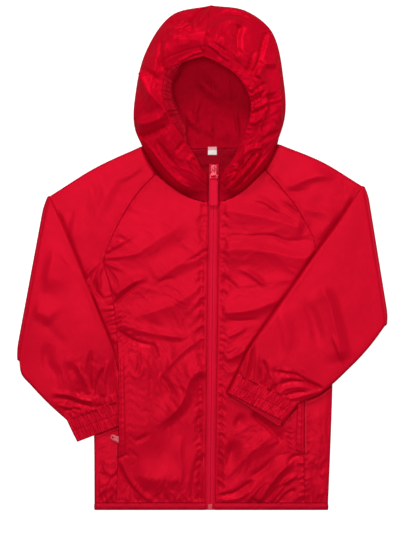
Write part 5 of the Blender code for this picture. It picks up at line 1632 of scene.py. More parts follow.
    def hem_ring(self, low: float) -> np.ndarray:
        """The line that the hem binding wraps: each place's x and z, and which way is out of it."""
        radius = (HEM_FRONT_Z - low) / 2
        angle = math.pi * np.arange(1, 11) / 10
        ahead = np.ones(self.hem_parts)
        halves = []
        for side in Side:
            fold_x = SEAMS[side]["side_fold"][-1][0] - side.out * (radius + low)
            start = np.linspace(ZIP_HEM_X + side.out * ZIP_HALF_WIDTH, fold_x, self.hem_parts)
            x = np.concatenate([start, fold_x + side.out * radius * np.sin(angle)])
            z = np.concatenate([HEM_FRONT_Z * ahead, (HEM_FRONT_Z + low) / 2 + radius * np.cos(angle)])
            out = np.concatenate([0.0 * ahead, side.out * np.sin(angle)])
            halves.append(np.stack([x, z, out, np.concatenate([ahead, np.cos(angle)])], axis=1))
        right, left = halves
        across = blend(right[-1], left[-1], shares(119)[1:-1, None])
        return np.concatenate([right, across, left[::-1]])

    def hem(self) -> tuple[np.ndarray, np.ndarray]:
        """The hem binding's smooth form, a ring open at the zip, and the same with its gathers."""
        ring_x, ring_z, out, up = self.hem_ring(0.9).T[:, None, :]
        wall = self.hem_wall
        down = shares(12)
        turn = np.radians([60.0, 30.0, 0.0, -30.0, -60.0])
        crown = wall + 0.5 * np.sqrt(np.clip(1 - (2 * down - 1) ** 2, 0.0, 1.0))
        depth = np.concatenate([down, np.ones(5), down[::-1]])[:, None]
        proud = np.concatenate([crown, wall * np.sin(turn), -wall * np.ones(13)])[:, None]
        past = np.concatenate([np.zeros(13), wall * np.cos(turn), np.zeros(13)])[:, None]
        y = blend(HEM_TOP_Y - 0.2, HEM_BOTTOM_Y + wall, depth) - past
        smooth = places(ring_x + out * proud, y, ring_z + up * proud)
        rise = raised(HEM_CREASES, smooth[..., 0], smooth[..., 1]) * 0.7
        groove = 0.5 * swell(np.abs(depth - 0.2) / 0.1)
        on_top = (up > 0.99) * (proud > 0.3)
        creased = smooth.copy()
        creased[..., 2] += on_top * (rise - groove) * ease(1.6 - np.abs(3.2 * depth - 1.6))
        return smooth, creased

    def build(self) -> dict[Side, np.ndarray]:
        """Builds the body's cloth, and returns each front's smooth form."""
        shop = self.shop
        fronts = {}
        ClothPiece("back", *self.back(), shop.back_cloth, ("back_panel",), "laid").build()
        for side in Side:
            fronts[side] = self.front(side)
            creased = self.creased_front(side, fronts[side])
            nodes = (side.named("front"),)
            name = side.named("front_cloth")
            front = ClothPiece(name, fronts[side], creased, shop.cloth, nodes, "laid", ("back",))
            y = np.linspace(ZIP_NECK_Y - 1.0, HEM_TOP_Y + 1.0, 200)
            line = np.stack([zip_x(y) + side.out * self.stitch_from_zip[side], y], axis=1)
            front.extras.append(shop.stitches(side.named("front_topstitch"), (line,), front.surface()))
            front.build()
            smooth = self.side_panel(side)
            creased = self.creased_side_panel(side, smooth)
            nodes = (side.named("side_panel"),)
            name = side.named("side_cloth")
            ClothPiece(name, smooth, creased, shop.cloth, nodes, "laid", ("back",)).build()
        hem = ClothPiece("hem_binding", *self.hem(), shop.binding, ("hem_band",), "gathered", ("back",), 0.5)
        lines = []
        for span in self.hem_stitch_spans:
            lines.append(np.stack([np.linspace(*span, 80), np.full(80, self.hem_stitch_y)], axis=1))
        hem.extras.append(shop.stitches("hem_topstitch", lines, hem.surface(), 2.6))
        hem.build()
        return fronts


# --- The sleeves ------------------------------------------------------------------------------


@dataclass
class Sleeves:
    """Each sleeve from its raglan seam round the fold to its elastic cuff."""

    shop: Workshop
    layer_parts: tuple[int, int, int] = (12, 46, 12)
    arm_rows: int = 56
    wrap_rows: int = 10
    forearm_rows: tuple[int, ...] = (14, 26, 26, 22, 20, 20)
    cuff_rows: int = 14
    fold_parts: int = 6
    cuff_across: int = 230
    rib_pitch: float = 2.9
    rib_height: float = 1.7
    upper_floor: float = 1.6
    forearm_wall: float = 1.3

    @property
    def across(self) -> int:
        """How many parts each layer is divided into."""
        return sum(self.layer_parts)

    def fold(self, side: Side) -> np.ndarray:
        """The places on the line where a sleeve turns back over itself."""
        crease = np.array(CREASES[side])
        return blend(crease[:2], crease[2:4], shares(self.across)[:, None])

    def upper_arm(self, side: Side) -> tuple[np.ndarray, np.ndarray]:
        """The front and the back layer of the part of a sleeve that lies on the surface."""
        over, under = (curve_through(SEAMS[side][name], self.arm_rows) for name in ("arm_top", "arm_under"))
        inset = np.full(self.arm_rows + 1, (FRONT_Z - BACK_Z) / 2)
        inset[0] += 0.6
        layers = []
        for names, height in ((("neck_side", "raglan"), FRONT_Z), (("neck_back", "raglan_back"), BACK_Z)):
            start = joined(*(seam(side, *run) for run in zip((*names, "underarm"), self.layer_parts)))
            plan = fill_between(start, self.fold(side), over, under)
            layers.append(with_height(drawn_in(plan, inset), height))
        return layers[0], layers[1]

    def wrap(self, side: Side) -> tuple[np.ndarray, np.ndarray]:
        """The two layers where a sleeve turns back over itself."""
        crease = np.array(CREASES[side])
        fold = drawn_in(self.fold(side)[None], (FRONT_Z - BACK_Z) / 2)
        along = unit(crease[2:4] - crease[:2])
        out = np.array([along[1], -along[0]])
        out *= np.sign(out[0] * side.out)
        pivot = (FRONT_Z + FOREARM_LOW_Z) / 2
        angle = math.pi * shares(self.wrap_rows)[1:, None, None]
        share = shares(self.across)[:, None]
        corner = 0.55 + 0.45 * np.sqrt(ease(np.minimum(share, 1 - share) / 0.10))
        layers = []
        for reach in (pivot - FRONT_Z, pivot - BACK_Z):
            plan = fold + out * reach * np.sin(angle) * corner
            layers.append(with_height(plan, pivot - reach * np.cos(angle[..., 0])))
        return layers[0], layers[1]

    def sections(self, table: np.ndarray, across: int) -> tuple[np.ndarray, np.ndarray]:
        """The two layers of a folded-over part, from rows of its section table."""
        share = shares(across)[None, :, None]
        plan = blend(table[:, None, :2], table[:, None, 2:4], share)
        plan = drawn_in(plan, (table[:, 5] - table[:, 4]) / 2)
        along = unit(table[:, 2:4] - table[:, :2])
        down = np.stack([along[:, 1], -along[:, 0]], axis=1)
        down *= -np.sign(down[:, 1:2])
        lip = (down * table[:, 6:7])[:, None] * (0.3 + 0.9 * share)
        return with_height(plan + lip, table[:, 4:5]), with_height(plan, table[:, 5:6])

    def edge_fade(self, across: int) -> np.ndarray:
        """How far creases show across a layer, less at its two folded edges."""
        share = shares(across)
        return 0.35 + 0.65 * ease(np.minimum(share, 1 - share) / 0.06)

    def creased_upper_arm(self, side: Side, front: np.ndarray) -> np.ndarray:
        """The upper arm's front layer with its creases, and tucked under its seam."""
        x, y, z = np.moveaxis(front, -1, 0)
        rise = raised(UPPER_ARM_CREASES[side], x, y)
        seam_line = np.concatenate([seam(side, name, 40) for name in ("neck_side", "raglan", "underarm")])
        rise -= SEAM_DIP * swell(off_line(seam_line, x, y) / SEAM_HALF_WIDTH)
        height = held_below(z + rise, sleeve_ceiling(side, x, y))
        height = z + (height - z) * self.edge_fade(self.across)
        return tucked(with_height(front, np.maximum(height, self.upper_floor)))

    def sleeve(self, side: Side) -> tuple[np.ndarray, np.ndarray]:
        """A sleeve's smooth form, and the same with its creases."""
        front, back = self.upper_arm(side)
        inner, outer = self.wrap(side)
        knots = np.array((CREASES[side], *FOREARMS[side]), float)
        low, high = self.sections(spline_spans(knots, self.forearm_rows)[1:], self.across)
        rise = raised(FOREARM_CREASES[side], high[..., 0], high[..., 1]) * self.edge_fade(self.across)
        rise *= ease(np.arange(len(high)) / 10.0)[:, None]
        creased_high = with_height(high, np.maximum(high[..., 2] + rise, low[..., 2] + self.forearm_wall))
        forms = []
        for start, end in ((front, high), (self.creased_upper_arm(side, front), creased_high)):
            layers = np.concatenate([start, inner, low]), np.concatenate([back, outer, end])
            forms.append(tube(*layers, self.fold_parts))
        return forms[0], forms[1]

    def cuff(self, side: Side) -> tuple[np.ndarray, np.ndarray]:
        """A cuff's smooth form, and the same with the ribs of its elastic."""
        knots = np.array((FOREARMS[side][-1], *CUFFS[side]), float)
        table = spline_spans(knots, (self.cuff_rows,) * 2)
        table[0, :4] -= (table[4, :4] - table[0, :4]) * 0.8
        low, high = self.sections(table, self.cuff_across)
        width = np.linalg.norm(high[0, -1] - high[0, 0])
        rng = np.random.default_rng(71 if side is Side.RIGHT else 73)
        place = width * shares(self.cuff_across)[None, :]
        down = shares(len(high) - 1)[:, None]
        rise = -0.5 * swell(np.abs(down - 0.5) / 0.06)
        for index in range(int(width / self.rib_pitch)):
            middle = (index + 0.5 + rng.uniform(-0.3, 0.3)) * self.rib_pitch
            drift = rng.uniform(-2.5, 2.5) * (down - 0.5)
            drift = drift + rng.uniform(-0.8, 0.8) * np.sin(down * 7.0 + index)
            across = np.abs(place - middle - drift) / (0.55 * self.rib_pitch)
            fade = 0.55 + 0.45 * np.sin(down * rng.uniform(2.0, 9.0) + rng.uniform(0.0, 6.0))
            rise = rise + self.rib_height * rng.uniform(0.5, 1.1) * swell(across, 3.0) * fade
        ring = high.copy()
        ring[..., 2] += rise * self.edge_fade(self.cuff_across)
        return tube(low, high, self.fold_parts), tube(low, ring, self.fold_parts)

    def build(self) -> None:
        """Builds both sleeves and their cuffs."""
        shop = self.shop
        for side in Side:
            name = side.named("sleeve_cloth")
            nodes, under = (side.named("sleeve"),), (side.named("front_cloth"),)
            ClothPiece(name, *self.sleeve(side), shop.cloth, nodes, "folded", under, closed=True).build()
            smooth, creased = self.cuff(side)
            nodes = (side.named("cuff"),)
            cuff = ClothPiece(
                side.named("cuff_cloth"), smooth, creased, shop.cloth, nodes, "gathered", (name,), 0.8, True
            )
            first = self.cuff_across + self.fold_parts
            line = creased[len(creased) // 2, first + 1 : first + self.cuff_across]
            cuff.extras.append(shop.stitches(side.named("cuff_stitches"), (line,), cuff.surface(), 2.4, 0.4))
            cuff.build()


# --- The hood ---------------------------------------------------------------------------------


@dataclass
class Hood:
    """The hood's two halves and the turned-in casing of its rim."""

    shop: Workshop
    station_parts: int = 22
    span_parts: tuple[int, int, int, int] = (30, 58, 16, 32)
    casing_depth: float = 14.0
    turned_in: float = 19.0
    casing_parts: int = 13
    pucker_pitch: float = 4.2
    opening_centre: tuple[float, float, float] = (6.0, 205.0, 0.0)
    unstitched_rows: int = 16

    def half(self, side: Side) -> np.ndarray:
        """One half's smooth form, rows from the centre seam round to the zip, columns from the rim."""
        knots = np.array(HOODS[side], float)
        around = spline_spans(knots.transpose(1, 0, 2), (self.station_parts,) * (len(knots) - 1))
        grid = spline_spans(around.transpose(1, 0, 2), self.span_parts)
        z = grid[..., 2]
        crest, outline = self.span_parts[0], sum(self.span_parts[:2])
        straight = blend(z[:, :1], z[:, outline : outline + 1], shares(outline))
        outer = blend(z[:, crest : crest + 1], z[:, outline : outline + 1], shares(outline - crest))
        z[:, crest : outline + 1] = blend(outer, z[:, crest : outline + 1], 0.35)
        z[:, : outline + 1] = blend(straight, z[:, : outline + 1], 0.8)
        grid[..., 2] = np.maximum(z, BACK_Z)
        return grid

    def creased(self, side: Side, smooth: np.ndarray) -> np.ndarray:
        """The same half with its creases, the outer ones and those of the inside that shows."""
        crest, outline, foot, neck = np.cumsum(self.span_parts)
        place = np.arange(smooth.shape[1])[None, :]
        rows = np.arange(len(smooth))[:, None]
        normals = unit(np.cross(np.gradient(smooth, axis=1), np.gradient(smooth, axis=0)))
        if normals[: len(normals) // 2, crest:outline, 2].mean() < 0.0:
            normals = -normals
        x, y = smooth[..., 0], smooth[..., 1]
        outer = raised(HOOD_CREASES[side], x, y)
        outer *= 1 - ease((place - outline + 8) / 7.0)
        outer *= 0.5 + 0.5 * ease(place / 5.0)
        outer *= 0.3 + 0.7 * ease((len(rows) - 1 - rows) / 22.0)
        outer -= 0.5 * swell(rows / 3.0) * (place < outline)
        from_rim = np.pad(np.cumsum(steps(smooth, 1), axis=1), ((0, 0), (1, 0)))
        outer -= 0.5 * swell(np.abs(from_rim - self.casing_depth) / 2.0)
        inner = np.maximum(raised(LINING_CREASES, x, y) + 5.0 * ease((y - 180.0) / 60.0), 0.0)
        inner *= ease((place - foot + 6) / 10.0) * ease((neck - place) / 4.0)
        upright = ease((place - outline + 34) / 24.0)[..., None]
        lifted = smooth + blend(normals, UP, upright) * outer[..., None]
        lifted[..., 2] += inner
        return self.with_allowances(lifted, normals, outline)

    def with_allowances(self, cloth: np.ndarray, normals: np.ndarray, outline: int) -> np.ndarray:
        """The half with its seam allowances turned in at the centre seam and laid down at the neck."""
        towards = unit(cloth[0] - cloth[1])
        cloth[0] += towards * 0.35
        turned_in = cloth[0] + towards
        turned_in[:outline] -= normals[0, :outline] * 2.2
        turned_in[outline:, 2] -= 0.1
        cloth = np.concatenate([turned_in[None], cloth])
        laid = cloth[:, -1] + unit(cloth[:, -1] - cloth[:, -2]) * 3.0
        laid[:, 2] = cloth[:, -1, 2] + 0.35 * (cloth[:, -1, 2] < 3.0)
        cloth = np.concatenate([cloth, laid[:, None]], axis=1)
        cloth[..., 2] = np.maximum(cloth[..., 2], 0.35)
        return cloth

    def casing(self, creased: np.ndarray) -> np.ndarray:
        """The strip turned in along the rim, where the right half shows its inside."""
        rim = creased[int(1.3 * self.station_parts) : int(5.4 * self.station_parts), 0]
        inward = unit((np.array(self.opening_centre) - rim) * (1 - UP))
        rows = np.arange(len(rim))
        ends = ease(rows / 14.0) * ease((len(rim) - 1 - rows) / 14.0)
        depth = shares(self.casing_parts)[None, :, None]
        reach = (self.turned_in * (0.15 + 0.85 * ends))[:, None, None]
        strip = rim[:, None] + inward[:, None] * reach * depth * np.cos(0.9 * depth - 0.2)
        strip[..., 2] -= (reach * depth * (0.15 + 0.35 * depth))[..., 0] + 0.5
        along = reached(rim)
        rng = np.random.default_rng(75)
        rise = np.zeros(len(rim))
        for index in range(int(along[-1] / self.pucker_pitch)):
            middle = (index + 0.5 + rng.uniform(-0.3, 0.3)) * self.pucker_pitch
            rise += rng.uniform(0.5, 1.3) * swell(np.abs(along - middle) / 2.6)
        strip[..., 2] += rise[:, None] * np.sin(math.pi * blend(0.05, 0.95, shares(self.casing_parts)))
        return strip

    def build(self) -> None:
        """Builds the hood."""
        shop = self.shop
        for side in Side:
            smooth = self.half(side)
            creased = self.creased(side, smooth)
            name, nodes = side.named("hood_cloth"), (side.named("hood"),)
            under = ("back", side.named("front_cloth"))
            piece = ClothPiece(name, smooth, creased, shop.hood_cloth, nodes, "draped", under)
            column = np.argmin(np.abs(np.cumsum(steps(creased, 1), axis=1) - self.casing_depth), axis=1)
            line = creased[np.arange(len(creased)), column][: -self.unstitched_rows]
            piece.extras.append(shop.stitches(side.named("hood_topstitch"), (line,), piece.surface()))
            piece.build()
            if side is Side.RIGHT:
                strip = self.casing(creased)
                ClothPiece("hood_casing", strip, strip, shop.casing_cloth, (), "gathered", (name,)).build()


# --- Hard parts -------------------------------------------------------------------------------

SHARP_ANGLE = math.radians(45.0)
Outline = list[tuple[float, float]]


def rounded_plate(
    name: str, outline: Outline, height: float, rounding: float, holes: Sequence[Outline] = ()
) -> bpy.types.Mesh:
    """A flat plate with rounded edges, centred on the XY plane, in metres.

    Args:
        name: The mesh's name.
        outline: Corner places in millimetres.
        height: The plate's thickness in millimetres.
        rounding: The radius of its edges in millimetres.
        holes: Outlines of openings through it.

    Returns:
        The new mesh.
    """
    curve = bpy.data.curves.new(name, "CURVE")
    curve.dimensions = "2D"
    curve.fill_mode = "BOTH"
    curve.extrude = (height / 2 - rounding) * MM
    curve.bevel_depth = rounding * MM
    curve.bevel_resolution = 2
    curve.offset = -rounding * MM
    for corners in (outline, *holes):
        spline = curve.splines.new("POLY")
        spline.points.add(len(corners) - 1)
        spline.use_cyclic_u = True
        for point, (x, y) in zip(spline.points, corners):
            point.co = (x * MM, y * MM, 0.0, 1.0)
    mesh = finished_mesh(show(name, curve))
    work = bmesh.new()
    work.from_mesh(mesh)
    bmesh.ops.remove_doubles(work, verts=work.verts, dist=1e-6)
    bmesh.ops.recalc_face_normals(work, faces=work.faces)
    work.to_mesh(mesh)
    work.free()
    mesh.name = name
    mesh.shade_smooth()
    mesh.set_sharp_from_angle(angle=SHARP_ANGLE)
    return mesh


def merged(name: str, parts: Sequence[tuple[bpy.types.Mesh, Matrix]]) -> bpy.types.Mesh:
    """One mesh of several, each with its place."""
    work = bmesh.new()
    for mesh, place in parts:
        mesh.transform(place)
        work.from_mesh(mesh)
        bpy.data.meshes.remove(mesh)
    result = bpy.data.meshes.new(name)
    work.to_mesh(result)
    work.free()
    result.shade_smooth()
    result.set_sharp_from_angle(angle=SHARP_ANGLE)
    return result


def arc(centre: tuple[float, float], radius: float, start: float, end: float, parts: int) -> Outline:
    """Places along an arc, with its angles in degrees."""
    angles = np.radians(np.linspace(start, end, parts + 1))
    return [(centre[0] + radius * math.cos(angle), centre[1] + radius * math.sin(angle)) for angle in angles]


def rounded_box(width: float, length: float, corner: float) -> Outline:
    """The outline of a rectangle with round corners, centred on the origin."""
    x, y = width / 2 - corner, length / 2 - corner
    turns = (((x, y), 0), ((-x, y), 90), ((-x, -y), 180), ((x, -y), 270))
    return [place for centre, start in turns for place in arc(centre, corner, start, start + 90, 5)]


def at(x: float, y: float, z: float) -> Matrix:
    """A move, in millimetres."""
    return Matrix.Translation(Vector((x, y, z)) * MM)


def turned(degrees: float, axis: str) -> Matrix:
    """A turn about one axis."""
    return Matrix.Rotation(math.radians(degrees), 4, axis)


def arch_outline(length: float, eye: float, wall: float) -> Outline:
    """A slider's arch seen from its side, standing on the X axis."""
    half = length / 2
    top = eye + wall
    outer, inner, foot = 1.2, 0.6, -0.2
    outline = [(-half, foot), (-half, top - outer)] + arc((outer - half, top - outer), outer, 180, 90, 5)
    outline += arc((half - outer, top - outer), outer, 90, 0, 5) + [(half, foot), (half - wall, foot)]
    outline += arc((half - wall - inner, eye - inner), inner, 0, 90, 4)
    outline += arc((wall + inner - half, eye - inner), inner, 90, 180, 4) + [(wall - half, foot)]
    return outline


@dataclass
class FrontZip:
    """The front zip: its tapes, coil, bottom box, slider and the pull that swings on it."""

    shop: Workshop
    bottom_y: float = -339.4
    top_y: float = 127.0
    opens_y: float = 115.0
    low_z: float = 3.2
    wall: float = 0.5
    half_width: float = 10.5
    neck_half_width: float = 6.5
    closed_gap: float = 0.15
    open_gap: float = 2.4
    coil_x: float = 0.95
    slider_y: float = 120.5
    pivot_z: float = 8.65
    link_length: float = 14.5
    tab_length: float = 34.0
    tab_width: float = 10.8
    tab_wall: float = 0.7
    tab_z: float = 0.45
    bar_radius: float = 1.4

    @property
    def line(self) -> Matrix:
        """The frame of the zip's line, whose Y axis runs along the zip."""
        run, rise = ZIP_NECK_X - ZIP_HEM_X, ZIP_NECK_Y - HEM_TOP_Y
        crossing = at(ZIP_HEM_X - run * HEM_TOP_Y / rise, 0.0, 0.0)
        return crossing @ turned(-math.degrees(math.atan2(run, rise)), "Z")

    @property
    def pivot(self) -> Matrix:
        """The frame of the pull's pivot."""
        return self.line @ at(0.0, self.slider_y + 1.2, self.pivot_z)

    def tape(self, side: Side) -> None:
        """Builds one tape, with the slight ridge where its coil is sewn on."""
        y = np.linspace(self.top_y, self.bottom_y, 460)[:, None]
        neck = ease((y - ZIP_NECK_Y + 3.0) / 5.0)
        share = shares(16)[None, :]
        inner = blend(self.closed_gap, self.open_gap, ease((y - self.opens_y + 3.0) / 6.0))
        from_line = (blend(self.half_width, self.neck_half_width, neck) - inner) * share
        z = self.low_z + self.wall / 2 + 0.2 + 1.5 * (1 - ease((from_line - 1.8) / 5.0)) * (1 - neck * 0.3)
        z = z - 0.2 * swell(from_line / 0.5, 1.0) - 0.12 * swell(np.abs(from_line - 4.6) / 0.5)
        z = z + 0.12 * np.sin(y / 5.3 + 1.2 * np.sin(y / 17.0)) * np.sin(math.pi * share)
        grid = places(side.out * (inner + from_line), y, z)
        ClothPiece(
            side.named("zip_cloth"), grid, grid, self.shop.tape, (side.named("zip_tape"),), "laid",
            (side.named("front_cloth"),), self.wall, slot="zip_tape", place=self.line,
        ).build()

    def coil(self) -> None:
        """Builds the two rows of coil turns, closed up to the slider."""
        ends = (self.bottom_y + 7.6, self.opens_y - 0.6)
        z = self.low_z + 1.1
        rows = [[self.line @ (Vector((x, y, z)) * MM) for y in ends] for x in (-self.coil_x, self.coil_x)]
        shop = self.shop
        piece = shop.repeat("zip_coil_turns", rows, shop.coil_tree, shop.coil, (1.3, 1.0, 1.7))
        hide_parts("zip_coil")

    def box(self) -> None:
        """Builds the bottom box and its three pale bars, whose pale colour is partly painted highlight."""
        centre = self.line @ at(0.0, self.bottom_y + 3.5, self.low_z + 2.3)
        body = rounded_plate("box_body", rounded_box(6.5, 7.0, 0.8), 2.4, 0.4)
        body.transform(centre)
        place_piece("zip_box_shell", body, self.shop.coil, "zip_slider", ("zip_box",))
        bar = rounded_box(5.2, 0.9, 0.4)
        bars = [(rounded_plate("bar", bar, 0.5, 0.2), centre @ at(0.0, y, 1.15)) for y in (-2.0, 0.0, 2.0)]
        place_piece("zip_box_ribs", merged("zip_box_bars", bars), self.shop.pale, "zip_slider")

    def slider(self) -> None:
        """Builds the slider: its two plates, their side flanges, the post and the bridge."""
        right = [(1.4, 5.5), (3.9, 5.0), (4.75, 3.2), (4.75, -3.4), (4.0, -5.1), (3.0, -5.5)]
        shape = [(-x, y) for x, y in right] + right[::-1]
        low = rounded_plate("low_plate", shape, 1.2, 0.35)
        top = rounded_plate("top_plate", shape, 1.2, 0.45)
        post = rounded_plate("post", rounded_box(2.4, 3.2, 0.8), 4.1, 0.2)
        bridge = rounded_plate("bridge", arch_outline(7.0, 1.9, 1.2), 2.2, 0.35)
        upright = turned(90.0, "Z") @ turned(90.0, "X")
        parts = [(low, at(0.0, 0.0, 2.2)), (top, at(0.0, 0.0, 7.1)), (post, at(0.0, 3.4, 4.65))]
        parts.append((bridge, at(0.0, 0.0, 7.7) @ upright))
        for x in (-4.35, 4.35):
            parts.append((rounded_plate("flange", rounded_box(0.8, 7.6, 0.35), 1.1, 0.2), at(x, -0.6, 6.3)))
        mesh = merged("zip_slider_body", parts)
        mesh.transform(self.line @ at(0.0, self.slider_y, 0.0))
        place_piece("zip_slider_shell", mesh, self.shop.enamel, "zip_slider", ("zip_slider",))

    def link(self) -> None:
        """Builds the pull's flared link, with its pin through the bridge and its slot for the tab."""
        low = -self.link_length
        outline = [(1.5, -5.9), (1.5, 0.2), (2.8, 0.2), (2.8, -5.9), (5.4, low + 5.0)]
        outline += arc((4.4, low + 1.0), 1.0, 0, -90, 5)
        outline += [(-x, y) for x, y in reversed(outline)]
        slot = [(-3.8, low + 1.4), (3.8, low + 1.4), (3.8, low + 3.0)]
        slot += [(3.2, low + 4.0), (-3.2, low + 4.0), (-3.8, low + 3.0)]
        plate = rounded_plate("link_plate", outline, 1.2, 0.35, (slot,))
        pin = rounded_plate("pin", arc((0.0, 0.0), 0.55, 0, 330, 11), 5.4, 0.1)
        mesh = merged("zip_link_body", [(plate, Matrix()), (pin, turned(90.0, "Y"))])
        mesh.transform(self.pivot)
        place_piece("zip_link_plate", mesh, self.shop.enamel, "pull_link", ("zip_pull_link",), "zip_pull")

    def tab(self) -> None:
        """Builds the tab: one length of tape folded round the link's bar and sewn to itself."""
        bar = 0.7 - self.link_length
        top = bar - 3.4
        end = top - self.tab_length
        front = [(y, self.tab_z) for y in np.linspace(end, top, 47)]
        rise = self.bar_radius - self.tab_z
        loop = [(blend(top, bar, share), self.tab_z + rise * ease(share)) for share in shares(6)[1:-1]]
        turn = [(y, z) for z, y in arc((0.0, bar), self.bar_radius, 0, 180, 12)]
        path = np.array(front + loop + turn + [(y, -z) for y, z in loop[::-1] + front[::-1]])
        y, z = path.T[:, None, :]
        share = np.linspace(-1.0, 1.0, 15)[:, None]
        half = 3.4 + 2.0 * ease((bar - 1.0 - y) / 4.2)
        crown = 0.12 * (1 - share**4) * np.sign(z) * (np.abs(z) < 0.5)
        waver = 0.1 * np.sin(y / 4.1) * share
        mesh = grid_mesh("pull_tape", places(share * half + waver, y, z + crown))
        mesh.transform(self.pivot)
        shop = self.shop
        piece = place_piece(
            "pull_tape", mesh, shop.tape, "pull_tab", ("zip_pull_tab",), "zip_pull", self.tab_wall
        )
        low, high = end + 1.4, top - 1.5
        corners = np.array([(-4.3, high), (-4.3, low), (4.3, low), (4.3, high), (-4.3, high)])
        lines = []
        for a, b in zip(corners, corners[1:]):
            run = [self.pivot @ (Vector((*blend(a, b, share), 0.0)) * MM) for share in shares(20)]
            lines.append(np.array([point.xy for point in run]) / MM)
        sewn = shop.stitches("pull_stitches", lines, surface_of(mesh), 2.2, 0.36, "zip_pull")
        size = (self.tab_width * MM, float(steps(path).sum()) * MM)

    def build(self) -> None:
        """Builds the whole zip."""
        for side in Side:
            self.tape(side)
        self.coil()
        self.box()
        self.slider()
        self.link()
        self.tab()


# --- Pockets and label ------------------------------------------------------------------------


@dataclass(frozen=True)
class PocketPlace:
    """Where one pocket's parts lie, and how high its zip stands above the cloth."""

    strip_lift: float
    welt_from: float
    welt_end_y: float
    zip_top_y: float
    zip_end_y: float
    slider: tuple[float, float, float]


POCKETS = {
    Side.RIGHT: PocketPlace(1.7, 0.9, -269.0, -253.0, -268.0, (-106.5, -248.0, 5.0)),
    Side.LEFT: PocketPlace(1.2, 0.88, -265.0, -171.0, -264.0, (143.8, -150.0, 6.6)),
}


@dataclass
class Pockets:
    """The pocket welts, the zips beside them and their pulls."""

    shop: Workshop
    welt_top_y: float = -140.0
    welt_lift: float = 1.3
    strip_width: float = 2.4
    body_height: float = 1.4
    pull_turn: float = 157.0

    def welt(self, side: Side, front: np.ndarray) -> None:
        """Builds a welt: the outer edge of the front, raised and folded over at the pocket's mouth."""
        edge_y = front[:, -1, 1]
        rows = front[(edge_y < self.welt_top_y) & (edge_y > POCKETS[side].welt_end_y)]
        first = int(rows.shape[1] * POCKETS[side].welt_from)
        smooth = np.stack([spaced(row[first:], 14) for row in rows])
        count = len(smooth)
        path = smooth[:: max(1, count // 6), 7, :2]
        puckers = Gathers(tuple(map(tuple, path)), 8.0, 0.7, 9.0, 101)
        rows = np.arange(count)[:, None]
        ends = ease(rows / 8.0) * ease((count - 1 - rows) / 8.0)
        share = shares(14)[None, :]
        crown = 0.7 * (1 - (2 * share - 1) ** 4) * (0.3 + 0.7 * ends)
        groove = 0.5 * swell(np.abs(share - 0.72) / 0.14)
        creased = smooth.copy()
        creased[..., 2] += self.welt_lift - 0.5 + crown - groove
        creased[..., 2] += puckers.lift(smooth[..., 0], smooth[..., 1]) * ends * 0.6
        smooth[..., 2] += self.welt_lift
        shop = self.shop
        piece = ClothPiece(
            side.named("pocket_flap"), smooth, creased, shop.cloth, (side.named("pocket_welt"),), "folded",
            (side.named("front_cloth"),), 0.7,
        )
        lines = (creased[4:-4, 10], creased[-3, 1:-1])
        piece.extras.append(shop.stitches(side.named("pocket_stitches"), lines, piece.surface(), 2.6, 0.4))
        piece.build()

    def zip_strip(self, side: Side) -> None:
        """Builds the strip of closed pocket zip that shows beside a welt."""
        place = POCKETS[side]
        y = np.linspace(place.zip_top_y, place.zip_end_y, 60)
        edge = seam(side, "side_seam", 300)
        x = np.interp(-y, -edge[:, 1], edge[:, 0]) + side.out * 1.2
        base = pocket_heights(y)[1] if side is Side.RIGHT else np.full(len(y), FRONT_Z)
        share = shares(6)[None, :]
        z = (base + place.strip_lift)[:, None] + 0.25 * np.sin(math.pi * share)
        grid = places(x[:, None] + side.out * self.strip_width * share, y[:, None], z)
        name, shop = side.named("pocket_tape"), self.shop
        nodes = (side.named("pocket_zip"),)
        place_piece(name, grid_mesh(name, grid), shop.tape, "zip_tape", nodes, wall=CLOTH_WALL)
        turns = [Vector((point + 0.5 * UP) * MM) for point in grid[:, 2]]
        shop.repeat(side.named("pocket_coil"), (turns,), shop.coil_tree, shop.coil, (1.1, 0.8, 1.5))

    def slider(self, side: Side) -> None:
        """Builds one pocket slider, on the left with the pull that lies flat below it."""
        parts = [(rounded_plate("body", rounded_box(7.0, 8.0, 1.6), self.body_height, 0.4), Matrix())]
        if side is Side.LEFT:
            pull = rounded_plate("flat_pull", rounded_box(4.0, 18.0, 1.2), 0.9, 0.3)
            parts.append((pull, at(0.0, -12.0, 0.0)))
        else:
            arch = rounded_plate("arch", arch_outline(6.0, 1.3, 0.7), 1.6, 0.25)
            upright = turned(self.pull_turn, "Z") @ turned(90.0, "X")
            parts.append((arch, at(0.0, 0.0, self.body_height / 2) @ upright))
        name = side.named("pocket_runner")
        mesh = merged(name, parts)
        mesh.transform(at(*POCKETS[side].slider))
        place_piece(name, mesh, self.shop.enamel, "zip_slider", (side.named("pocket_slider"),))

    def pull(self) -> None:
        """Builds the right pocket's pull, which sticks out beside the welt; its pale colour is partly painted
        highlight.
        """
        x, y, z = POCKETS[Side.RIGHT].slider
        outline = [(-0.4, -2.2), (2.2, -2.2), (6.0, -4.3)] + arc((15.0, 0.0), 3.4, -80, 80, 14)
        outline += [(6.0, 4.3), (2.2, 2.2), (-0.4, 2.2)]
        eye = [(4.0, -1.3), (4.0, 1.3), (0.45, 1.3), (0.45, -1.3)]
        hole = arc((15.0, 0.0), 1.5, 0, 330, 11)
        mesh = rounded_plate("pocket_tag", outline, 0.9, 0.25, (eye, hole))
        mesh.transform(at(x, y, z + self.body_height / 2 + 0.65) @ turned(self.pull_turn, "Z"))
        place_piece("pocket_tag", mesh, self.shop.pale, "zip_slider", ("pocket_pull_right",), "pocket_pull")

    def build(self, fronts: dict[Side, np.ndarray]) -> None:
        """Builds both pockets."""
        for side in Side:
            self.welt(side, fronts[side])
            self.zip_strip(side)
            self.slider(side)
        self.pull()


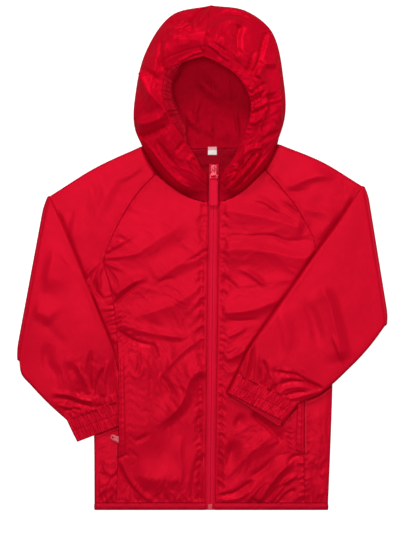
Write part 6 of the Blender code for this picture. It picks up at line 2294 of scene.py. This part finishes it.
@dataclass
class NeckLabel:
    """The bare woven label at the back of the neck."""

    shop: Workshop
    centre: tuple[float, float, float] = (14.0, 144.7, 1.8)
    size: tuple[float, float] = (12.0, 11.0)
    bow: float = 0.25

    def build(self) -> None:
        """Builds the label, slightly bowed."""
        u = shares(24)[None, :] - 0.5
        v = 0.5 - shares(22)[:, None]
        x, y, z = self.centre
        z = z + self.bow * np.cos(math.pi * u) * np.cos(math.pi * v)
        grid = places(x + self.size[0] * u, y + self.size[1] * v, z)
        nodes, under = ("neck_label",), ("back",)
        ClothPiece(
            "neck_label_cloth", grid, grid, self.shop.label, nodes, "laid", under, 0.5, slot="label"
        ).build()


# --- The set ----------------------------------------------------------------------------------


@dataclass
class Studio:
    """The pale surface, the soft lights and the camera that looks straight down."""

    aim: tuple[float, float] = (0.0081, -0.0263)
    camera_height: float = 6.0
    garment_top: float = 0.005
    view_height: float = 0.74925
    sensor: float = 36.0
    world_grey: float = 0.17
    floor_grey: float = 0.34
    floor_half: float = 3.0
    floor_z: float = -0.0002

    def floor(self) -> None:
        """Lays the surface that the garment lies on."""
        mesh = bpy.data.meshes.new("surface")
        corners = ((-1, -1), (1, -1), (1, 1), (-1, 1))
        points = [(x * self.floor_half, y * self.floor_half, self.floor_z) for x, y in corners]
        mesh.from_pydata(points, [], [(0, 1, 2, 3)])
        material, graph, shader = new_material("white_surface")
        inputs = {
            "Base Color": (self.floor_grey, self.floor_grey, self.floor_grey, 1.0),
            "Roughness": 1.0,
            "Emission Color": (1.0, 1.0, 1.0, 1.0),
            "Emission Strength": graph.add("ShaderNodeLightPath", out="Is Camera Ray"),
        }
        graph.feed(shader, inputs)
        show("surface", mesh, material)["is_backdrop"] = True

    def light(self, name: str, place: tuple[float, float, float], power: float, size: float = 0.6) -> None:
        """Adds one square area light aimed at the garment."""
        data = bpy.data.lights.new(name, "AREA")
        data.energy = power
        data.size = size
        lamp = show(name, data)
        lamp.location = place
        lamp.rotation_euler = (Vector((*self.aim, 0.0)) - Vector(place)).to_track_quat("-Z", "Y").to_euler()

    def build(self) -> None:
        """Builds the set."""
        self.floor()
        self.light("key", (-0.1, 0.25, 2.4), 17.0, 0.8)
        self.light("top", (-0.2, 1.9, 1.6), 29.0)
        self.light("fill_left", (-1.8, 0.3, 0.8), 4.0)
        self.light("fill_right", (1.8, 0.3, 0.8), 7.0)
        scene = bpy.context.scene
        scene.world = bpy.data.worlds.new("pale_room")
        scene.world.use_nodes = True
        background = scene.world.node_tree.nodes["Background"]
        background.inputs["Color"].default_value = (1.0, 1.0, 1.0, 1.0)
        background.inputs["Strength"].default_value = self.world_grey
        data = bpy.data.cameras.new("camera")
        data.sensor_width = self.sensor
        data.lens = self.sensor * (self.camera_height - self.garment_top) / self.view_height
        scene.camera = show("camera", data)
        scene.camera.location = (*self.aim, self.camera_height)
        scene.view_settings.view_transform = "Standard"


def main() -> None:
    """Builds every piece and the set."""
    logging.basicConfig(level=logging.INFO, format="%(name)s: %(message)s")
    Studio().build()
    shop = Workshop()
    fronts = Body(shop).build()
    Sleeves(shop).build()
    Hood(shop).build()
    FrontZip(shop).build()
    Pockets(shop).build(fronts)
    NeckLabel(shop).build()
    boxes = {"cad": CAD_BOX, "visual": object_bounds()}
    plain = {name: [[float(value) for value in corner] for corner in box] for name, box in boxes.items()}


if __name__ == "__main__":
    main()
